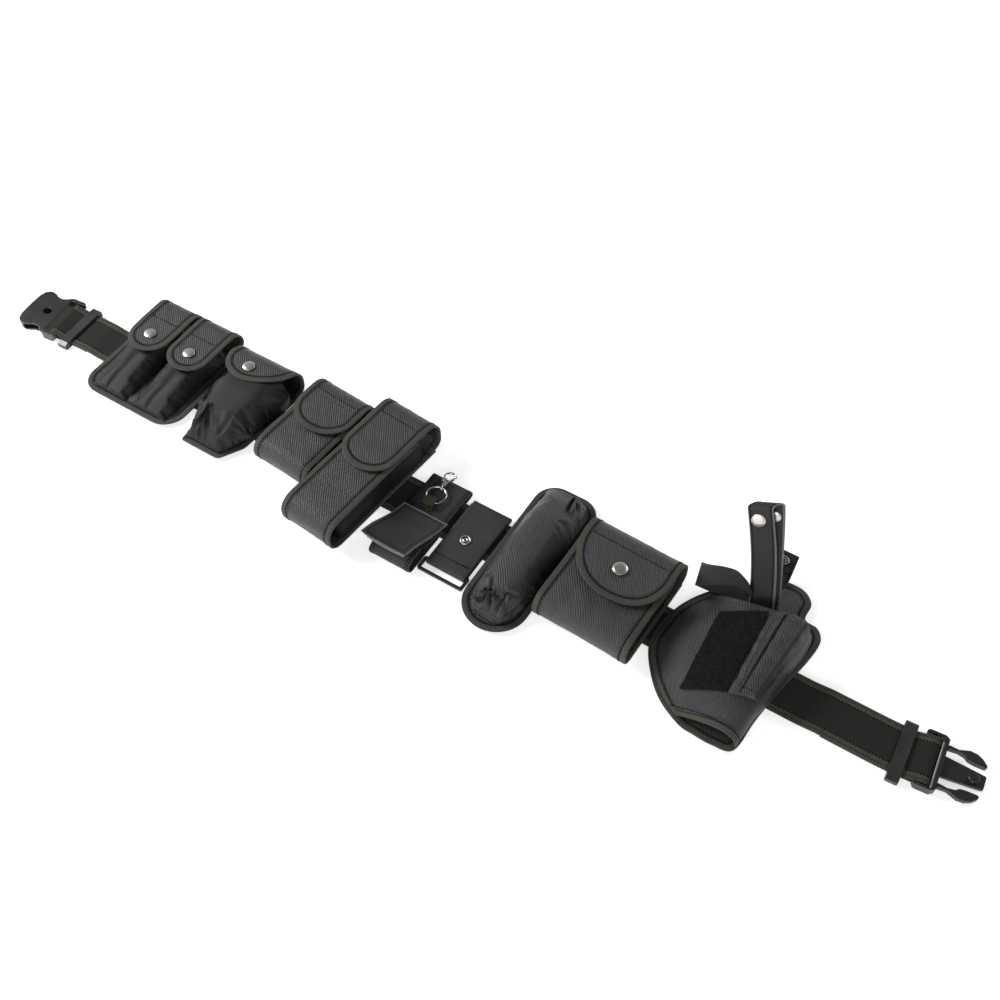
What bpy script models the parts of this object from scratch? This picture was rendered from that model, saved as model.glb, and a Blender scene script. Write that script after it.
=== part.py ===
"""Nylon duty belt laid out flat: webbing, buckle, keepers, pouches, key holder, baton ring, holster.

Frame: metres, +X along the belt from the socket half of the buckle to the plug half, +Y towards
the belt's upper edge, +Z out of the wearer's body, with the belt's back on the ground at Z = 0.
"""
import math

import bmesh
import bpy
from mathutils import Matrix, Vector

# ---------------------------------------------------------------- driving dimensions
GAP = 0.0003            # clearance between touching pieces
WEB_WIDTH = 0.050       # belt webbing
WEB_T = 0.0016
LOOP_T = 0.0015         # belt loop straps, on the ground
PANEL_T = 0.0022        # padded back panels
FABRIC_T = 0.0018       # pocket and flap fabric
BAR_X = 0.518           # distance of each buckle's webbing bar from the middle
KEEPER_X = 0.496
LOOP_BAR_Z = 0.0061     # height of the buckle bars
SNAP_R = 0.0068         # snap cap radius

WEB_Z = LOOP_T + GAP                 # underside of the webbing under the pouches
PANEL_Z = WEB_Z + WEB_T + GAP        # underside of the back panels
POCKET_Z = PANEL_Z + PANEL_T + GAP   # base of the pockets

# middle of each pouch along the belt, and its turn about Z in degrees
MAG_X, UTILITY_X, PHONE_X, TORCH_X = -0.371, -0.256, -0.161, -0.0855
KEY_X, BATON_X, SPRAY_X, CUFF_X, HOLSTER_X = -0.0080, 0.045, 0.1070, 0.1972, 0.320
PHONE_TURN, TORCH_TURN, CUFF_TURN = -4.5, -5.0, -2.0
BUCKLE_TURN = 5.5                    # both buckle halves lie turned on the bent webbing ends
BEND_START, BEND_LENGTH = 0.470, 0.040


# ---------------------------------------------------------------- scene and materials
def clear_scene():
    for item in list(bpy.data.objects):
        bpy.data.objects.remove(item, do_unlink=True)


def make_material(name, colour, roughness, metallic=0.0):
    material = bpy.data.materials.new(name)
    material.use_nodes = True
    shader = material.node_tree.nodes["Principled BSDF"]
    shader.inputs["Base Color"].default_value = (*colour, 1.0)
    shader.inputs["Roughness"].default_value = roughness
    shader.inputs["Metallic"].default_value = metallic
    return material


def make_materials():
    return {
        "nylon": make_material("ribbed_nylon", (0.030, 0.031, 0.036), 0.75),
        "fine": make_material("fine_nylon", (0.014, 0.014, 0.017), 0.70),
        "web": make_material("belt_webbing", (0.018, 0.018, 0.016), 0.85),
        "vinyl": make_material("vinyl", (0.045, 0.046, 0.050), 0.45),
        "pile": make_material("loop_pile", (0.006, 0.006, 0.008), 0.95),
        "plastic": make_material("moulded_plastic", (0.025, 0.025, 0.024), 0.38),
        "nickel": make_material("nickel", (0.75, 0.73, 0.70), 0.22, 1.0),
        "chrome": make_material("chrome", (0.88, 0.88, 0.88), 0.10, 1.0),
    }


# ---------------------------------------------------------------- placing
def holder(name, x, turn=0.0, y=0.0):
    """An empty that carries one pouch."""
    empty = bpy.data.objects.new(name, None)
    empty.location = (x, y, 0.0)
    empty.rotation_euler = (0.0, 0.0, math.radians(turn))
    bpy.context.scene.collection.objects.link(empty)
    return empty


def add_object(name, bm, material, parent=None, origin=(0.0, 0.0, 0.0)):
    """Make an object from a bmesh in its parent's space, with its origin at the given point."""
    bmesh.ops.recalc_face_normals(bm, faces=bm.faces)
    if bm.calc_volume(signed=True) < 0.0:
        bmesh.ops.reverse_faces(bm, faces=bm.faces)
    bmesh.ops.translate(bm, verts=bm.verts, vec=-Vector(origin))
    mesh = bpy.data.meshes.new(name)
    bm.to_mesh(mesh)
    bm.free()
    mesh.materials.append(material)
    mesh.shade_smooth()
    mesh.set_sharp_from_angle(angle=math.radians(35))
    item = bpy.data.objects.new(name, mesh)
    item.location = origin
    item.parent = parent
    bpy.context.scene.collection.objects.link(item)
    return item


# ---------------------------------------------------------------- outlines and paths
def arc(centre, radius, start, end, steps):
    """Points on a circular arc, angles in degrees."""
    points = []
    for i in range(steps + 1):
        a = math.radians(start + (end - start) * i / steps)
        points.append((centre[0] + radius * math.cos(a), centre[1] + radius * math.sin(a)))
    return points


def fillet(points, radii, steps=4, closed=False):
    """Round the corners of a polyline with arcs of the given radii."""
    count = len(points)
    result = []
    for i, point in enumerate(points):
        radius = radii[i]
        if radius <= 0.0 or (not closed and i in (0, count - 1)):
            result.append(tuple(point))
            continue
        here = Vector(point)
        back = (Vector(points[i - 1]) - here).normalized()
        ahead = (Vector(points[(i + 1) % count]) - here).normalized()
        half = back.angle(ahead) / 2.0
        if half > math.radians(89.0):
            result.append(tuple(point))
            continue
        reach = radius / math.tan(half)
        centre = here + (back + ahead).normalized() * (radius / math.sin(half))
        first = here + back * reach - centre
        last = here + ahead * reach - centre
        turn = first.angle_signed(last)
        for k in range(steps + 1):
            spoke = first.copy()
            spoke.rotate(Matrix.Rotation(-turn * k / steps, 2))
            result.append(tuple(centre + spoke))
    return result


def rounded_box(x0, x1, y0, y1, radii, steps=4):
    """A rectangle outline; radii run from the lower left corner anticlockwise."""
    corners = [(x0, y0), (x1, y0), (x1, y1), (x0, y1)]
    return fillet(corners, radii, steps, closed=True)


class Path:
    """A polyline in a plane that can be read by distance along it."""

    def __init__(self, points):
        self.points = [Vector(p) for p in points]
        self.marks = [0.0]
        for a, b in zip(self.points, self.points[1:]):
            self.marks.append(self.marks[-1] + (b - a).length)
        self.length = self.marks[-1]
        self.normals = []
        for i in range(len(self.points)):
            a = self.points[max(i - 1, 0)]
            b = self.points[min(i + 1, len(self.points) - 1)]
            along = (b - a).normalized()
            self.normals.append(Vector((-along.y, along.x)))

    def at(self, distance):
        distance = min(max(distance, 0.0), self.length)
        for i in range(len(self.marks) - 1):
            if distance <= self.marks[i + 1]:
                break
        share = (distance - self.marks[i]) / (self.marks[i + 1] - self.marks[i])
        point = self.points[i].lerp(self.points[i + 1], share)
        normal = self.normals[i].lerp(self.normals[i + 1], share).normalized()
        return point, normal


# ---------------------------------------------------------------- solid makers
def prism(outline, low, high):
    """A flat outline in XY raised from low to high."""
    bm = bmesh.new()
    base = [bm.verts.new((x, y, low)) for x, y in outline]
    face = bm.faces.new(base)
    raised = bmesh.ops.extrude_face_region(bm, geom=[face])
    moved = [v for v in raised["geom"] if isinstance(v, bmesh.types.BMVert)]
    bmesh.ops.translate(bm, verts=moved, vec=(0.0, 0.0, high - low))
    return bm


def grid_solid(outer, inner):
    """Close two matching grids of points into one thin-walled solid."""
    bm = bmesh.new()
    rows, columns = len(outer), len(outer[0])
    top = [[bm.verts.new(p) for p in row] for row in outer]
    low = [[bm.verts.new(p) for p in row] for row in inner]
    for i in range(rows - 1):
        for j in range(columns - 1):
            bm.faces.new((top[i][j], top[i][j + 1], top[i + 1][j + 1], top[i + 1][j]))
            bm.faces.new((low[i][j], low[i + 1][j], low[i + 1][j + 1], low[i][j + 1]))
        for j in (0, columns - 1):
            bm.faces.new((top[i][j], top[i + 1][j], low[i + 1][j], low[i][j]))
    for j in range(columns - 1):
        for i in (0, rows - 1):
            bm.faces.new((top[i][j], low[i][j], low[i][j + 1], top[i][j + 1]))
    return bm


def ribbon(path, thickness, width, centre=0.0, columns=1, crossing="x"):
    """A strip that follows a path of its middle line.

    The path lies in YZ and the strip is wide in X, or in XZ and wide in Y.
    """
    path = Path(path)
    outer, inner = [], []
    for point, normal in zip(path.points, path.normals):
        for side, rows in ((1.0, outer), (-1.0, inner)):
            place = point + normal * (side * thickness / 2.0)
            row = []
            for j in range(columns + 1):
                across = centre + width * (j / columns - 0.5)
                if crossing == "x":
                    row.append((across, place.x, place.y))
                else:
                    row.append((place.x, across, place.y))
            rows.append(row)
    return grid_solid(outer, inner)


def flap_solid(path, thickness, half_width, tip, centre=0.0, lean=0.0, columns=8, sharp=2.0):
    """A flap: a strip along a YZ path whose free end is rounded over the length tip."""
    path = Path(path)
    body = [m for m in path.marks if m < path.length - tip]
    rounding = [path.length - tip * (1.0 - math.sin(math.radians(a))) for a in (0, 25, 46, 62, 75, 84)]
    outer, inner = [], []
    for mark in body + rounding:
        point, normal = path.at(mark)
        share = max(0.0, (mark - (path.length - tip)) / tip)
        half = half_width * (1.0 - share ** sharp) ** (1.0 / sharp)
        middle = centre + lean * share
        for side, rows in ((1.0, outer), (-1.0, inner)):
            place = point + normal * (side * thickness / 2.0)
            row = []
            for j in range(columns + 1):
                row.append((middle + half * (2.0 * j / columns - 1.0), place.x, place.y))
            rows.append(row)
    return grid_solid(outer, inner)


def level_base(height):
    """A flat seat for a pocket."""
    def base(across, y):
        return Vector((across, y, height)), Vector((0.0, 0.0, 1.0))
    return base


def arch_solid(rows, thickness, base, square=3.0, columns=12, shut=True):
    """A pocket: an arched wall on a seat, its last row open and its first row shut or open.

    Each row is (y, middle, half width, height); square sets how boxy the arch is.
    """
    def point(y, middle, half, height, angle):
        c, s = math.cos(angle), math.sin(angle)
        across = middle - half * math.copysign(abs(c) ** (2.0 / square), c)
        seat, up = base(across, y)
        return seat + up * (height * abs(s) ** (2.0 / square))

    angles = [math.pi * j / columns for j in range(columns + 1)]
    outer, inner = [], []
    for i, (y, middle, half, height) in enumerate(rows):
        inside = max(height - thickness, 0.0)
        inner_y = y + thickness if shut and i < 2 else y
        outer.append([point(y, middle, half, height, a) for a in angles])
        inner.append([point(inner_y, middle, half - thickness, inside, a) for a in angles])
    return grid_solid(outer, inner)


def turned(profile, centre, steps=20):
    """A solid of revolution about Z; the profile runs from the axis out and back to it."""
    bm = bmesh.new()
    rings = []
    for radius, height in profile[1:-1]:
        ring = []
        for k in range(steps):
            a = 2.0 * math.pi * k / steps
            ring.append(bm.verts.new((centre[0] + radius * math.cos(a),
                                      centre[1] + radius * math.sin(a), centre[2] + height)))
        rings.append(ring)
    for low, high in zip(rings, rings[1:]):
        for k in range(steps):
            m = (k + 1) % steps
            bm.faces.new((low[k], low[m], high[m], high[k]))
    bm.faces.new(rings[0])
    bm.faces.new(rings[-1])
    return bm


def tube_ring(centre, radius, wire, turn=None, steps=28, sides=8, opening=0.0):
    """A ring of round wire about Z, or a hook shape when an opening angle is left out."""
    bm = bmesh.new()
    loops = []
    full = opening <= 0.0
    span = 2.0 * math.pi - opening
    count = steps if full else steps + 1
    for i in range(count):
        a = opening / 2.0 + span * i / steps
        ring = []
        for k in range(sides):
            b = 2.0 * math.pi * k / sides
            r = radius + wire * math.cos(b)
            ring.append(bm.verts.new((r * math.cos(a), r * math.sin(a), wire * math.sin(b))))
        loops.append(ring)
    for i in range(steps):
        here, there = loops[i], loops[(i + 1) % count]
        for k in range(sides):
            m = (k + 1) % sides
            bm.faces.new((here[k], here[m], there[m], there[k]))
    if not full:
        bm.faces.new(loops[0])
        bm.faces.new(loops[-1])
    if turn is not None:
        bmesh.ops.transform(bm, matrix=turn, verts=bm.verts)
    bmesh.ops.translate(bm, verts=bm.verts, vec=centre)
    return bm


def cut(target, cutter_bm, name, operation="DIFFERENCE"):
    """Cut or join a shape in the target's parent space and apply it."""
    mesh = bpy.data.meshes.new(name)
    bmesh.ops.recalc_face_normals(cutter_bm, faces=cutter_bm.faces)
    bmesh.ops.translate(cutter_bm, verts=cutter_bm.verts, vec=-target.location)
    cutter_bm.to_mesh(mesh)
    cutter_bm.free()
    tool = bpy.data.objects.new(name, mesh)
    tool.location = target.location
    tool.parent = target.parent
    tool.hide_render = True
    tool.display_type = "WIRE"
    bpy.context.scene.collection.objects.link(tool)
    modifier = target.modifiers.new(name, "BOOLEAN")
    modifier.operation = operation
    modifier.solver = "EXACT"
    modifier.object = tool
    return tool


def box(x0, x1, y0, y1, z0, z1):
    return prism([(x0, y0), (x1, y0), (x1, y1), (x0, y1)], z0, z1)


# ---------------------------------------------------------------- belt and buckle
TAIL_Z = 0.0019                      # underside of the folded back tails
RAISED_Z = TAIL_Z + WEB_T + GAP      # underside of the webbing over its tails
TAIL_LEFT_END, TAIL_RIGHT_END = -0.466, 0.428


def belt_path():
    """Middle line of the webbing in XZ: left tail, round the left bar, along, round the right bar."""
    tail = TAIL_Z + WEB_T / 2.0
    over = RAISED_Z + WEB_T / 2.0
    flat = WEB_Z + WEB_T / 2.0
    wrap = LOOP_BAR_Z - tail
    left = [(-x, z) for x, z in wrap_points(wrap)]
    right = [(x, z) for x, z in reversed(wrap_points(wrap))]
    bends = [BEND_START + BEND_LENGTH * k / 6 for k in range(6)]
    points = [(TAIL_LEFT_END, tail)] + [(-x, tail) for x in bends] + left
    points += [(-x, over) for x in reversed(bends)] + [(-0.464, over), (-0.448, flat)]
    points += [(0.404, flat), (0.422, over)] + [(x, over) for x in bends]
    points += right + [(x, tail) for x in reversed(bends)] + [(TAIL_RIGHT_END, tail)]
    return points


def webbing_bend(x):
    """Turn of the webbing about Z, in radians, and its move in Y at a place along the belt."""
    most = math.radians(BUCKLE_TURN)
    past = max(abs(x) - BEND_START, 0.0)
    if past < BEND_LENGTH:
        turn, move = most * past / BEND_LENGTH, most * past ** 2 / (2.0 * BEND_LENGTH)
    else:
        turn, move = most, most * (past - BEND_LENGTH / 2.0)
    return turn, math.copysign(move, x)


def on_webbing(name, x):
    """An empty on the middle line of the bent webbing."""
    turn, move = webbing_bend(x)
    return holder(name, x, math.degrees(turn), move)


def wrap_points(radius):
    """Half turn round a buckle bar from below to above."""
    return arc((BAR_X, LOOP_BAR_Z), radius, -90.0, 90.0, 8)


def make_belt(mats):
    bm = ribbon(belt_path(), WEB_T, WEB_WIDTH, crossing="y")
    for vert in bm.verts:
        turn, move = webbing_bend(vert.co.x)
        vert.co.x -= vert.co.y * math.sin(turn)
        vert.co.y = vert.co.y * math.cos(turn) + move
    add_object("belt_web", bm, mats["web"])


KEEPER_HALF = 0.0302
KEEPER_LONG = 0.012


def make_keeper(name, x, mats):
    """A plastic slide round both layers of webbing, with a thumb block on its lower end."""
    top = RAISED_Z + WEB_T + GAP
    outline = [(-KEEPER_HALF - 0.0035, 0.0012), (-KEEPER_HALF - 0.0005, 0.0), (KEEPER_HALF - 0.001, 0.0),
               (KEEPER_HALF, 0.001), (KEEPER_HALF, top + 0.0014), (KEEPER_HALF - 0.0022, top + 0.0026),
               (-KEEPER_HALF + 0.002, top + 0.0026), (-KEEPER_HALF - 0.0035, top + 0.0004)]
    slot = WEB_WIDTH / 2.0 + 0.0015
    carrier = on_webbing(name + "_place", x)
    keeper = add_object(name, x_prism(outline, -KEEPER_LONG / 2.0, KEEPER_LONG / 2.0),
                        mats["plastic"], carrier)
    hole = rounded_box(-slot, slot, TAIL_Z - GAP, top, [0.0004] * 4, 2)
    cut(keeper, x_prism(hole, -KEEPER_LONG, KEEPER_LONG), name + "_slot")
    soften(keeper, 0.0005)


def x_prism(outline, low, high):
    """An outline in YZ raised along X."""
    bm = prism(outline, low, high)
    turn = Matrix(((0, 0, 1, 0), (1, 0, 0, 0), (0, 1, 0, 0), (0, 0, 0, 1)))
    bmesh.ops.transform(bm, matrix=turn, verts=bm.verts)
    return bm


def soften(item, width, segments=1):
    bevel = item.modifiers.new("soft_edges", "BEVEL")
    bevel.width = width
    bevel.segments = segments
    bevel.limit_method = "ANGLE"
    bevel.angle_limit = math.radians(50)


BUCKLE_LOW, BUCKLE_HIGH = 0.0006, 0.0114
BAR_HALF_X, BAR_HALF_Z = 0.0018, 0.0014      # half section of each webbing bar
RAIL_IN, RAIL_OUT = WEB_WIDTH / 2.0 + 0.0006, 0.0295


def cut_webbing_slots(body, inside, first, last):
    """Open a buckle frame on both sides of its webbing bar, and thin the bar."""
    low, high = BUCKLE_LOW - 0.005, BUCKLE_HIGH + 0.005
    cut(body, box(BAR_HALF_X, last, -inside, inside, low, high), "slot_a_cut")
    cut(body, box(first, -BAR_HALF_X, -inside, inside, low, high), "slot_b_cut")
    reach = BAR_HALF_X + 0.0005
    cut(body, box(-reach, reach, -inside, inside, low, LOOP_BAR_Z - BAR_HALF_Z), "bar_under_cut")
    cut(body, box(-reach, reach, -inside, inside, LOOP_BAR_Z + BAR_HALF_Z, high), "bar_over_cut")


def cut_rail_chamfer(body, side):
    """Slope the underside of the rail ends, so the buckle can swing up off the ground."""
    low = BUCKLE_LOW - 0.001
    wedge = [(side * 0.0020, low), (side * 0.0110, low), (side * 0.0110, low + 0.0090)]
    bm = prism(wedge, -0.035, 0.035)
    stand = Matrix(((1, 0, 0, 0), (0, 0, -1, 0), (0, 1, 0, 0), (0, 0, 0, 1)))
    bmesh.ops.transform(bm, matrix=stand, verts=bm.verts)
    cut(body, bm, "rail_chamfer_cut")


def make_female_buckle(mats):
    """Socket half: a hollow shell open towards -X with side windows, an eye and a webbing bar."""
    carrier = on_webbing("female_buckle_hinge", -BAR_X)
    half = [(-0.0495, 0.0), (-0.0490, 0.016), (-0.0465, 0.0235), (-0.0425, 0.0270), (-0.0370, 0.0278),
            (-0.0320, 0.0262), (-0.0270, 0.0236), (-0.0215, 0.0232), (-0.0160, 0.0252),
            (-0.0110, 0.0290), (-0.0080, 0.0297), (0.0070, 0.0295), (0.0085, 0.0275), (0.0085, 0.0)]
    outline = half + [(x, -y) for x, y in reversed(half[1:-1])]
    body = add_object("female_buckle", prism(outline, BUCKLE_LOW, BUCKLE_HIGH), mats["plastic"],
                      carrier, origin=(0.0, 0.0, LOOP_BAR_Z))
    socket_low, socket_high = BUCKLE_LOW + 0.0022, BUCKLE_HIGH - 0.0022
    cut(body, box(-0.060, -0.0135, -0.0205, 0.0205, socket_low, socket_high), "socket_cut")
    cut(body, box(-0.0385, -0.0190, -0.040, 0.040, socket_low, socket_high), "window_cut")
    cut_webbing_slots(body, RAIL_IN, -0.0096, 0.0140)
    cut_rail_chamfer(body, 1.0)
    eye = [(-0.0245 + 0.0056 * math.cos(a), 0.0048 * math.sin(a))
           for a in (2.0 * math.pi * k / 20 for k in range(20))]
    cut(body, prism(eye, 0.0060, 0.0160), "eye_cut")


def make_male_buckle(mats):
    """Plug half: a webbing frame, two spring prongs and a middle tongue with a release button."""
    carrier = on_webbing("male_buckle_hinge", BAR_X)
    outline = [(-0.0075, -0.0275), (-0.0055, -0.0290), (0.0090, -0.0290), (0.0128, -0.0262),
               (0.0128, 0.0262), (0.0090, 0.0290), (-0.0055, 0.0290), (-0.0075, 0.0275)]
    body = add_object("male_buckle", prism(outline, 0.0016, 0.0106), mats["plastic"],
                      carrier, origin=(0.0, 0.0, LOOP_BAR_Z))
    inside = RAIL_IN + 0.0012
    cut_webbing_slots(body, inside, -0.0150, 0.0092)
    cut_rail_chamfer(body, -1.0)
    for side, name in ((1.0, "male_prong_upper"), (-1.0, "male_prong_lower")):
        root_x, root_y = 0.0128 + GAP, 0.0200
        arm = [(root_x, 0.0178), (root_x, 0.0222), (0.0225, 0.0216), (0.0265, 0.0232), (0.0320, 0.0252),
               (0.0385, 0.0246), (0.0440, 0.0218), (0.0482, 0.0176), (0.0490, 0.0150), (0.0470, 0.0138),
               (0.0370, 0.0140), (0.0320, 0.0148), (0.0285, 0.0176), (0.0225, 0.0188)]
        points = [(x, side * y) for x, y in arm]
        prong = add_object(name, prism(points, 0.0033, 0.0089), mats["plastic"], carrier,
                           origin=(root_x, side * root_y, LOOP_BAR_Z))
        soften(prong, 0.0007)
    root = 0.0128 + GAP
    tongue_outline = [(root, -0.0105), (0.0495, -0.0070), (0.0505, -0.0060), (0.0505, 0.0060),
                      (0.0495, 0.0070), (root, 0.0105)]
    tongue = add_object("male_lock_tongue", prism(tongue_outline, 0.0040, 0.0076), mats["plastic"],
                        carrier, origin=(root, 0.0, 0.0058))
    button = turned([(0, 0.0), (0.0050, 0.0), (0.0050, 0.0032), (0.0042, 0.0040), (0, 0.0040)],
                    (0.0405, 0.0, 0.0066), 20)
    cut(tongue, button, "button_join", "UNION")


# ---------------------------------------------------------------- parts shared by the pouches
def make_snap_cap(name, place, mats, parent, hinge=(0.0, 0.0, 0.0), finish="nickel", radius=SNAP_R):
    """Domed cap of a press stud; the place is the middle of its underside."""
    profile = [(0, 0), (radius * 0.94, 0.0), (radius, 0.0005), (radius * 0.96, 0.0011),
               (radius * 0.70, 0.0017), (radius * 0.36, 0.0020), (0, 0)]
    cap = turned(profile, place)
    return add_object(name, cap, mats[finish], parent, origin=hinge)


def make_snap_stud(name, place, mats, parent):
    """The half of a press stud that is fixed to a pocket: a flange with a round head."""
    profile = [(0, 0), (0.0048, 0.0), (0.0048, 0.0006), (0.0021, 0.0009), (0.0020, 0.0014),
               (0.0024, 0.0018), (0.0016, 0.0023), (0, 0)]
    return add_object(name, turned(profile, place, 16), mats["nickel"], parent)


def make_belt_loop(name, width, mats, parent, reach=0.034):
    """A strap under the belt whose ends rise to the back panel above and below it."""
    top = PANEL_Z - GAP
    middle = LOOP_T / 2.0
    path = [(-reach - 0.006, top - middle), (-reach, top - middle), (-reach + 0.003, middle),
            (reach - 0.003, middle), (reach, top - middle), (reach + 0.006, top - middle)]
    bm = ribbon(path, LOOP_T, width)
    return add_object(name, bm, mats["fine"], parent)


def make_panel(name, outline, mats, parent, finish="nylon"):
    panel = add_object(name, prism(outline, PANEL_Z, PANEL_Z + PANEL_T), mats[finish], parent)
    soften(panel, 0.0006)
    return panel


def flap_path(back_y, top_y, height, front_y, front_z, bulge=0.004):
    """A flap's middle line in YZ: off the back panel, over the mouth and down the front."""
    low = POCKET_Z + FABRIC_T / 2.0
    corners = [(back_y, low), (top_y, low + bulge), (top_y, height), (front_y, front_z)]
    reach = min(0.012, (height - low) * 0.42)
    return fillet(corners, [0.0, reach * 0.55, reach, 0.0], 5)


def make_strip_pouch(name, parent, mats, half, low_y, high_y, depth, mouth_y, wall=0.002, sink=0.004):
    """Back, bottom and front in one folded strip, with a gusset band set in between them."""
    z = PANEL_Z + wall / 2.0
    top = PANEL_Z + depth - wall / 2.0
    low = low_y + wall / 2.0
    radius = depth * 0.40
    path = fillet([(high_y, z), (low, z), (low, top - 0.002), (mouth_y, top)],
                  [0.0, radius, radius, 0.0], 6)
    shell = ribbon([(y, z) for y, z in path], wall, 2.0 * half)
    add_object(name + "_shell", shell, mats["nylon"], parent)

    band = 0.0012
    inner_low, inner_high = PANEL_Z + wall + GAP, PANEL_Z + depth - wall - 0.0030
    side = half - sink
    bottom = low_y + radius + 0.003
    plan = fillet([(-side, mouth_y + 0.006), (-side, bottom), (side, bottom), (side, mouth_y + 0.006)],
                  [0.0, 0.008, 0.008, 0.0], 4)
    walls = Path(plan)
    outer, inner = [], []
    for point, normal in zip(walls.points, walls.normals):
        a, b = point + normal * band / 2.0, point - normal * band / 2.0
        outer.append([(a.x, a.y, inner_low), (a.x, a.y, inner_high)])
        inner.append([(b.x, b.y, inner_low), (b.x, b.y, inner_high)])
    add_object(name + "_gusset", grid_solid(outer, inner), mats["fine"], parent)


# ---------------------------------------------------------------- pouches
def make_magazine_pouch(mats):
    place = holder("mag_place", MAG_X)
    outline = rounded_box(-0.066, 0.066, -0.0650, 0.066, [0.018, 0.018, 0.008, 0.008])
    make_panel("mag_back_panel", outline, mats, place)
    make_belt_loop("mag_belt_loop", 0.100, mats, place)
    rows = [(-0.0590, 0.0, 0.0215, 0.0), (-0.0580, 0.0, 0.0220, 0.0050), (-0.0400, 0.0, 0.0245, 0.0130),
            (-0.0100, 0.0, 0.0260, 0.0195), (0.0200, 0.0, 0.0265, 0.0215), (0.0440, 0.0, 0.0265, 0.0215)]
    for side, x in (("left", -0.0275), ("right", 0.0290)):
        shifted = [(y, x, half, high) for y, _, half, high in rows]
        pocket = arch_solid(shifted, FABRIC_T, level_base(POCKET_Z), square=5.0, columns=14)
        add_object("mag_pocket_" + side, pocket, mats["fine"], place)
        front = 0.0325
        path = flap_path(0.0600, 0.0745, front, -0.0075, front - 0.0010)
        hinge = (x, 0.0660, POCKET_Z)
        flap = flap_solid(path, FABRIC_T, 0.0262, 0.026, centre=x + 0.001)
        add_object("mag_flap_" + side, flap, mats["nylon"], place, origin=hinge)
        make_snap_cap("mag_snap_cap_" + side, (x + 0.001, 0.0165, front + FABRIC_T / 2.0 + 0.0004), mats,
                      place, hinge)
        seat = POCKET_Z + 0.0215 + GAP
        make_snap_stud("mag_snap_stud_" + side, (x + 0.001, 0.0165, seat), mats, place)


def make_utility_pouch(mats):
    place = holder("utility_place", UTILITY_X)
    outline = fillet([(-0.0315, -0.0670), (0.0190, -0.0670), (0.0345, -0.0400), (0.0400, 0.0500),
                      (-0.0400, 0.0500)], [0.003, 0.008, 0.020, 0.006, 0.006], closed=True)
    make_panel("utility_back_panel", outline, mats, place)
    make_belt_loop("utility_belt_loop", 0.056, mats, place)
    rows = [(-0.0620, -0.0065, 0.0225, 0.0), (-0.0610, -0.0065, 0.0230, 0.0060),
            (-0.0480, -0.0040, 0.0275, 0.0180), (-0.0300, -0.0010, 0.0325, 0.0290),
            (0.0000, 0.0, 0.0370, 0.0335), (0.0330, 0.0, 0.0385, 0.0335)]
    pocket = arch_solid(rows, FABRIC_T, level_base(POCKET_Z), square=4.0, columns=16)
    add_object("utility_pocket", pocket, mats["fine"], place)
    front = POCKET_Z + 0.0335 + 0.0045
    path = flap_path(0.0460, 0.0575, front, 0.0100, front - 0.0010)
    hinge = (0.0, 0.0500, POCKET_Z)
    flap = flap_solid(path, FABRIC_T, 0.0405, 0.034, lean=-0.010, columns=12, sharp=1.8)
    add_object("utility_flap", flap, mats["nylon"], place, origin=hinge)
    snap = (-0.0080, 0.0285)
    make_snap_cap("utility_snap_cap", (*snap, front + FABRIC_T / 2.0 + 0.0004), mats, place, hinge)
    make_snap_stud("utility_snap_stud", (*snap, POCKET_Z + 0.0335 + GAP), mats, place)


def make_phone_pouch(mats):
    place = holder("phone_place", PHONE_X, PHONE_TURN)
    make_strip_pouch("phone", place, mats, 0.0365, -0.0500, 0.0570, 0.0330, 0.0360)
    make_belt_loop("phone_belt_loop", 0.050, mats, place, 0.037)
    front = PANEL_Z + 0.0330 + 0.0040
    path = flap_path(0.0500, 0.0660, front, -0.0050, front - 0.0005)
    flap = flap_solid(path, FABRIC_T, 0.0365, 0.032, columns=10)
    add_object("phone_flap", flap, mats["nylon"], place, origin=(0.0, 0.0572, POCKET_Z))


def make_torch_pouch(mats):
    place = holder("torch_place", TORCH_X, TORCH_TURN)
    make_strip_pouch("torch", place, mats, 0.0325, -0.0980, 0.0680, 0.0390, 0.0430)
    make_belt_loop("torch_belt_loop", 0.046, mats, place, 0.037)
    front = PANEL_Z + 0.0390 + 0.0045
    path = flap_path(0.0600, 0.0765, front, -0.0220, front - 0.0010)
    flap = flap_solid(path, FABRIC_T, 0.0325, 0.028, columns=10)
    add_object("torch_flap", flap, mats["nylon"], place, origin=(0.0, 0.0682, POCKET_Z))


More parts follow.
